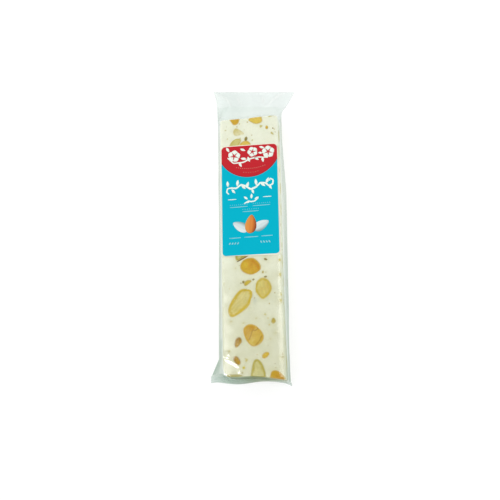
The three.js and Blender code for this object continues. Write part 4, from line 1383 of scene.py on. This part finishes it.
inks = dict(white="#EEF8EE", pale="#8CCFDA", rose="#CF7A6E", fleshBrown="#D27A36", shadeBrown="#84402C",
            lightBrown="#E09A50", blanched="#E4ECEC", shadeGrey="#7F9C9E", salt="#C4D6D8")
labelPrint = dict(
    inkHeight=0.02, sunk=-0.02, rimRing=0.3,    # an ink patch's top, its folded-down rim and its underside
    inkStep=0.003, inkSteps=13, step=0.25, dotStep=0.4,
    # white, middle x and y, radius, turn in degrees
    blossoms=[(-8.9, 42.4, 3.6, 8), (1.6, 44.4, 3.0, 40), (10.4, 43.8, 3.6, 20)],
    # a petal's root from the middle, length and width by the blossom's radius, and swell
    petals=5, petalRoot=0.16, petalLength=0.84, petalWidth=0.92, petalSwell=1.5,
    # white, root x and y, length, width, way in degrees
    leaves=[
        (-13.3, 47.9, 3.4, 1.5, -60), (-5.4, 46.6, 3.3, 1.4, -25), (-5.2, 40.9, 3.6, 1.5, -12),
        (-6.2, 38.6, 3.2, 1.4, -62), (-1.2, 41.6, 3.4, 1.5, -70), (2.4, 41.2, 3.3, 1.4, -35),
        (5.4, 47.2, 3.2, 1.3, -20), (7.0, 41.0, 3.3, 1.5, -80), (4.8, 43.6, 2.6, 1.2, -8),
        (-12.6, 24.6, 3.4, 1.5, 95), (-10.6, 23.0, 3.2, 1.4, -50), (-7.4, 24.6, 3.8, 1.6, 82),
        (-5.0, 24.9, 3.2, 1.4, -42), (-2.2, 23.4, 3.7, 1.6, 70), (0.8, 22.6, 3.1, 1.3, -70),
        (3.4, 24.4, 4.0, 1.6, 96), (5.8, 25.6, 3.2, 1.4, -36), (8.8, 25.4, 3.6, 1.5, 64),
        (10.4, 24.4, 3.0, 1.3, -60), (-1.6, 16.6, 2.8, 1.2, 140), (0.4, 16.9, 3.0, 1.3, 84),
        (2.2, 16.4, 2.8, 1.2, 30), (-0.4, 15.6, 2.4, 1.1, 205),
    ],
    leafPoints=11, leafSwell=0.9,               # below 1 a leaf is widest near its root
    # pale rows of small leaves: first root x and y, step along x, count, length, width, way in degrees
    leafRows=[(-12.4, -8.9, 1.5, 4, 1.7, 0.8, 55), (5.9, -8.7, 1.5, 4, 1.7, 0.8, 125)],
    # ink, width in mm, points in x and y
    strokes=[
        ("white", 0.8, [(-12.6, 41.6), (-9.4, 38.2), (-3.8, 38.4), (0.4, 40.4), (5.0, 41.0), (10.2, 40.4)]),
        ("white", 1.05, [(-12.2, 20.2), (-13.4, 21.6), (-12.8, 23.6), (-10.6, 23.8), (-8.0, 23.4),
                         (-5.2, 25.4), (-2.6, 24.4), (0.2, 22.4), (3.0, 23.4), (5.6, 25.8), (8.4, 25.6),
                         (10.4, 23.8), (12.6, 24.8), (12.8, 27.2), (11.2, 28.0), (10.6, 26.8)]),
        ("white", 0.75, [(-3.6, 14.2), (-1.4, 15.6), (0.4, 15.2), (2.2, 15.4), (4.4, 17.2)]),
        ("white", 0.45, [(-12.7, 17.0), (-8.0, 17.0)]), ("white", 0.45, [(7.0, 17.6), (11.6, 17.6)]),
        ("pale", 0.4, [(-11.6, 12.4), (-1.8, 12.6)]), ("pale", 0.4, [(1.2, 12.7), (10.8, 12.9)]),
        ("pale", 0.4, [(-4.6, 9.6), (4.4, 9.8)]),
        ("pale", 0.45, [(-12.2, -5.2), (-5.8, -5.1)]), ("pale", 0.45, [(-3.8, -5.0), (3.8, -4.9)]),
        ("pale", 0.45, [(5.6, -4.8), (11.8, -4.7)]),
    ],
    strokePlaces=12, strokeSoftenings=4,        # for each point
    strokeLeast=0.55, strokeFrom=0.08, strokeTo=0.92,       # its width at the ends, and the part of a sine
    # ink, first and last x and y, count, radius, sag of the row's middle
    dots=[("rose", -7.6, 35.6, 8.4, 36.0, 15, 0.26, 1.2), ("rose", -3.6, 32.6, 4.4, 32.8, 7, 0.24, 0.5),
          ("pale", -11.4, 13.7, -2.0, 13.9, 9, 0.2, 0), ("pale", 1.4, 14.0, 10.6, 14.2, 9, 0.2, 0),
          ("pale", -4.4, 10.9, 4.2, 11.1, 8, 0.2, 0)],
    # light, dark and shade ink, middle, length, width, angle, pointedness
    almonds=[("blanched", "salt", "shadeGrey", -5.9, 1.2, 9.4, 5.3, 150, 0.5),
             ("blanched", "salt", "shadeGrey", 5.6, 1.4, 9.4, 5.3, 28, 0.5),
             ("lightBrown", "fleshBrown", "shadeBrown", -0.1, 2.4, 10.6, 6.2, 84, 0.5)],
    almondRings=(1.0, 0.85, 0.7, 0.5, 0.3, 0.12),
    # an almond's fine lines, how its light falls off across it, and where its shade starts and is full
    lines=11, lineBend=1.5, lineShare=0.25, lightMiddle=0.55, lightFall=0.6, shadeBend=0.4, shade=(0.25, 1.1),
)


def inkTone(ink):
    return tint(inks[ink])


def inkPatch(outline, colours, rings=(1.0,)):
    # a thin closed plate that follows the label: the outline scaled from its middle in rings, with its rim
    # folded down to the paper. colours gives a colour for every point from x and y
    middle = outline.mean(axis=0)
    grow = np.array([labelPrint["rimRing"], 1.0, *rings])[:, None, None]
    flat = middle + (outline - middle) * grow
    lift = np.full((len(grow), 1), labelPrint["inkHeight"])
    lift[:2] = labelPrint["sunk"]
    poles = [[*middle, labelTop(middle[0]) + labelPrint[height]] for height in ("sunk", "inkHeight")]
    points, faces = skinRings(stack(flat[..., 0], flat[..., 1], labelTop(flat[..., 0]) + lift), *poles)
    return points, faces, colours(points[:, 0], points[:, 1])


def leafOutline(x, y, length, width, way, swell):
    # out along one side and back along the other: half the width times a sine, its peak moved by `swell`
    along = np.linspace(0, 1, labelPrint["leafPoints"])
    half = width / 2 * np.sin(np.pi * along ** swell)
    u, v = turnedBy(length * np.concatenate([along, along[-2:0:-1]]),
                    np.concatenate([-half, half[-2:0:-1]]), way)
    return np.stack([x + u, y + v], -1)


def strokePatch(ink, width, points):
    # a brush stroke: four points round its path at each place, its width swelling by a sine along it
    count = labelPrint["strokePlaces"] * len(points)
    path = smoothPath(points, count, labelPrint["strokeSoftenings"])
    along = np.gradient(path, axis=0)
    side = np.stack([-along[:, 1], along[:, 0]], -1) / np.linalg.norm(along, axis=1, keepdims=True)
    swell = np.sin(np.pi * np.linspace(labelPrint["strokeFrom"], labelPrint["strokeTo"], count))
    half = width / 2 * lerp(labelPrint["strokeLeast"], 1, swell)[:, None] * side
    corners = np.stack([path + half, path - half, path - half, path + half], axis=1)
    lift = np.array([labelPrint["sunk"]] * 2 + [labelPrint["inkHeight"]] * 2)
    rings = stack(corners[..., 0], corners[..., 1], labelTop(corners[..., 0]) + lift)
    poles = [[*path[k], float(labelTop(path[k, 0]))] for k in (0, -1)]
    points, faces = skinRings(rings, *poles)
    return points, otherSideOut(faces), np.tile(inkTone(ink), (len(points), 1))


def printedAlmond(light, dark, shade, x, y, length, width, angle, point):
    # a drawn almond: light above, dark below and at its edge, with fine lengthwise lines
    look = labelPrint
    outline = ovalOutline(x, y, length, width, angle, point, seeds["printed"], look["step"])

    def shaded(px, py):
        along, across = turnedBy(px - x, py - y, -angle)
        along, across = along / (length / 2), across / (width / 2)
        lines = 0.5 + 0.5 * np.sin(look["lines"] * across + look["lineBend"] * along ** 2)
        mix = np.clip(look["lightMiddle"] - look["lightFall"] * across + look["lineShare"] * lines, 0, 1)
        inShade = smooth(look["shadeBend"] * along ** 2 - across, *look["shade"])
        return lerp(lerp(inkTone(light), inkTone(dark), mix[:, None]), inkTone(shade), inShade[:, None])

    return inkPatch(outline, shaded, look["almondRings"])


def inkPatches():
    # every leaf, stroke, blossom, dot and almond
    look = labelPrint

    def plain(ink):
        return lambda px, py: np.tile(inkTone(ink), (len(px), 1))

    patches = [inkPatch(leafOutline(*leaf, look["leafSwell"]), plain("white")) for leaf in look["leaves"]]
    for x, y, step, count, *shape in look["leafRows"]:
        patches += [inkPatch(leafOutline(x + step * k, y, *shape, look["leafSwell"]), plain("pale"))
                    for k in range(count)]
    patches += [strokePatch(*stroke) for stroke in look["strokes"]]
    for x, y, radius, turn in look["blossoms"]:
        for k in range(look["petals"]):
            way = turn + 360 / look["petals"] * k
            u, v = turnedBy(look["petalRoot"] * radius, 0, way)
            petal = leafOutline(x + u, y + v, look["petalLength"] * radius, look["petalWidth"] * radius, way,
                                look["petalSwell"])
            patches.append(inkPatch(petal, plain("white")))
    for ink, x0, y0, x1, y1, count, radius, sag in look["dots"]:
        for share in np.linspace(0, 1, count):
            y = lerp(y0, y1, share) - sag * 4 * share * (1 - share)
            dot = ovalOutline(lerp(x0, x1, share), y, 2 * radius, 2 * radius, 0, 0, seeds["dots"],
                              look["dotStep"])
            patches.append(inkPatch(dot, plain(ink)))
    return patches + [printedAlmond(*almond) for almond in look["almonds"]]


def inkLayer():
    # all the patches as one mesh, later ink a touch higher, so that two layers never share a surface
    points, faces, colours, start = [], [], [], 0
    for number, (patch, skin, colour) in enumerate(inkPatches()):
        points.append(patch + [0, 0, labelPrint["inkStep"] * (number % labelPrint["inkSteps"])])
        faces += [f + start for f in skin]
        colours.append(colour)
        start += len(patch)
    attributes = dict(ink=np.concatenate(colours))
    return makePiece("labelPrint", np.concatenate(points), faces, attributes=attributes)


def inkMaterial():
    # offset ink on coated paper: flat and satin, with the paper's fibre faintly in it
    material = newMaterial("offsetInk")
    where = addNode(material, "TexCoord")
    ink = addNode(material, "Attribute", {"attribute_name": "ink"})
    fibre = addNode(material, "TexNoise", inputs={"Scale": 1 / (0.5 * mm), "Detail": 3},
                    Vector=(where, "Object"))
    shade = addNode(material, "MapRange", inputs={"To Min": 0.94, "To Max": 1.04}, Value=(fibre, "Fac"))
    colour = addNode(material, "Mix", multiplyColours, {0: 1.0}, _6=(ink, "Color"), _7=(shade, "Result"))
    shader = addNode(material, "BsdfPrincipled", inputs={"Roughness": 0.4, "Specular IOR Level": 0.05},
                     Base_Color=(colour, 2))
    addNode(material, "OutputMaterial", Surface=(shader, "BSDF"))
    return material


labelPiece = labelSheet()
labelPiece.data.materials.append(labelMaterial())
inkPiece = inkLayer()
inkPiece.data.materials.append(inkMaterial())
print("label done")

# what each piece rides on and replaces

contents = [nougatPiece] + almonds + [crumbPiece]
for piece in [filmPiece] + contents + [labelPiece, inkPiece]:
    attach(piece, "root")
for piece in [filmPiece] + contents:
    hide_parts("film_pack")
for piece in (labelPiece, inkPiece):
    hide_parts("label")
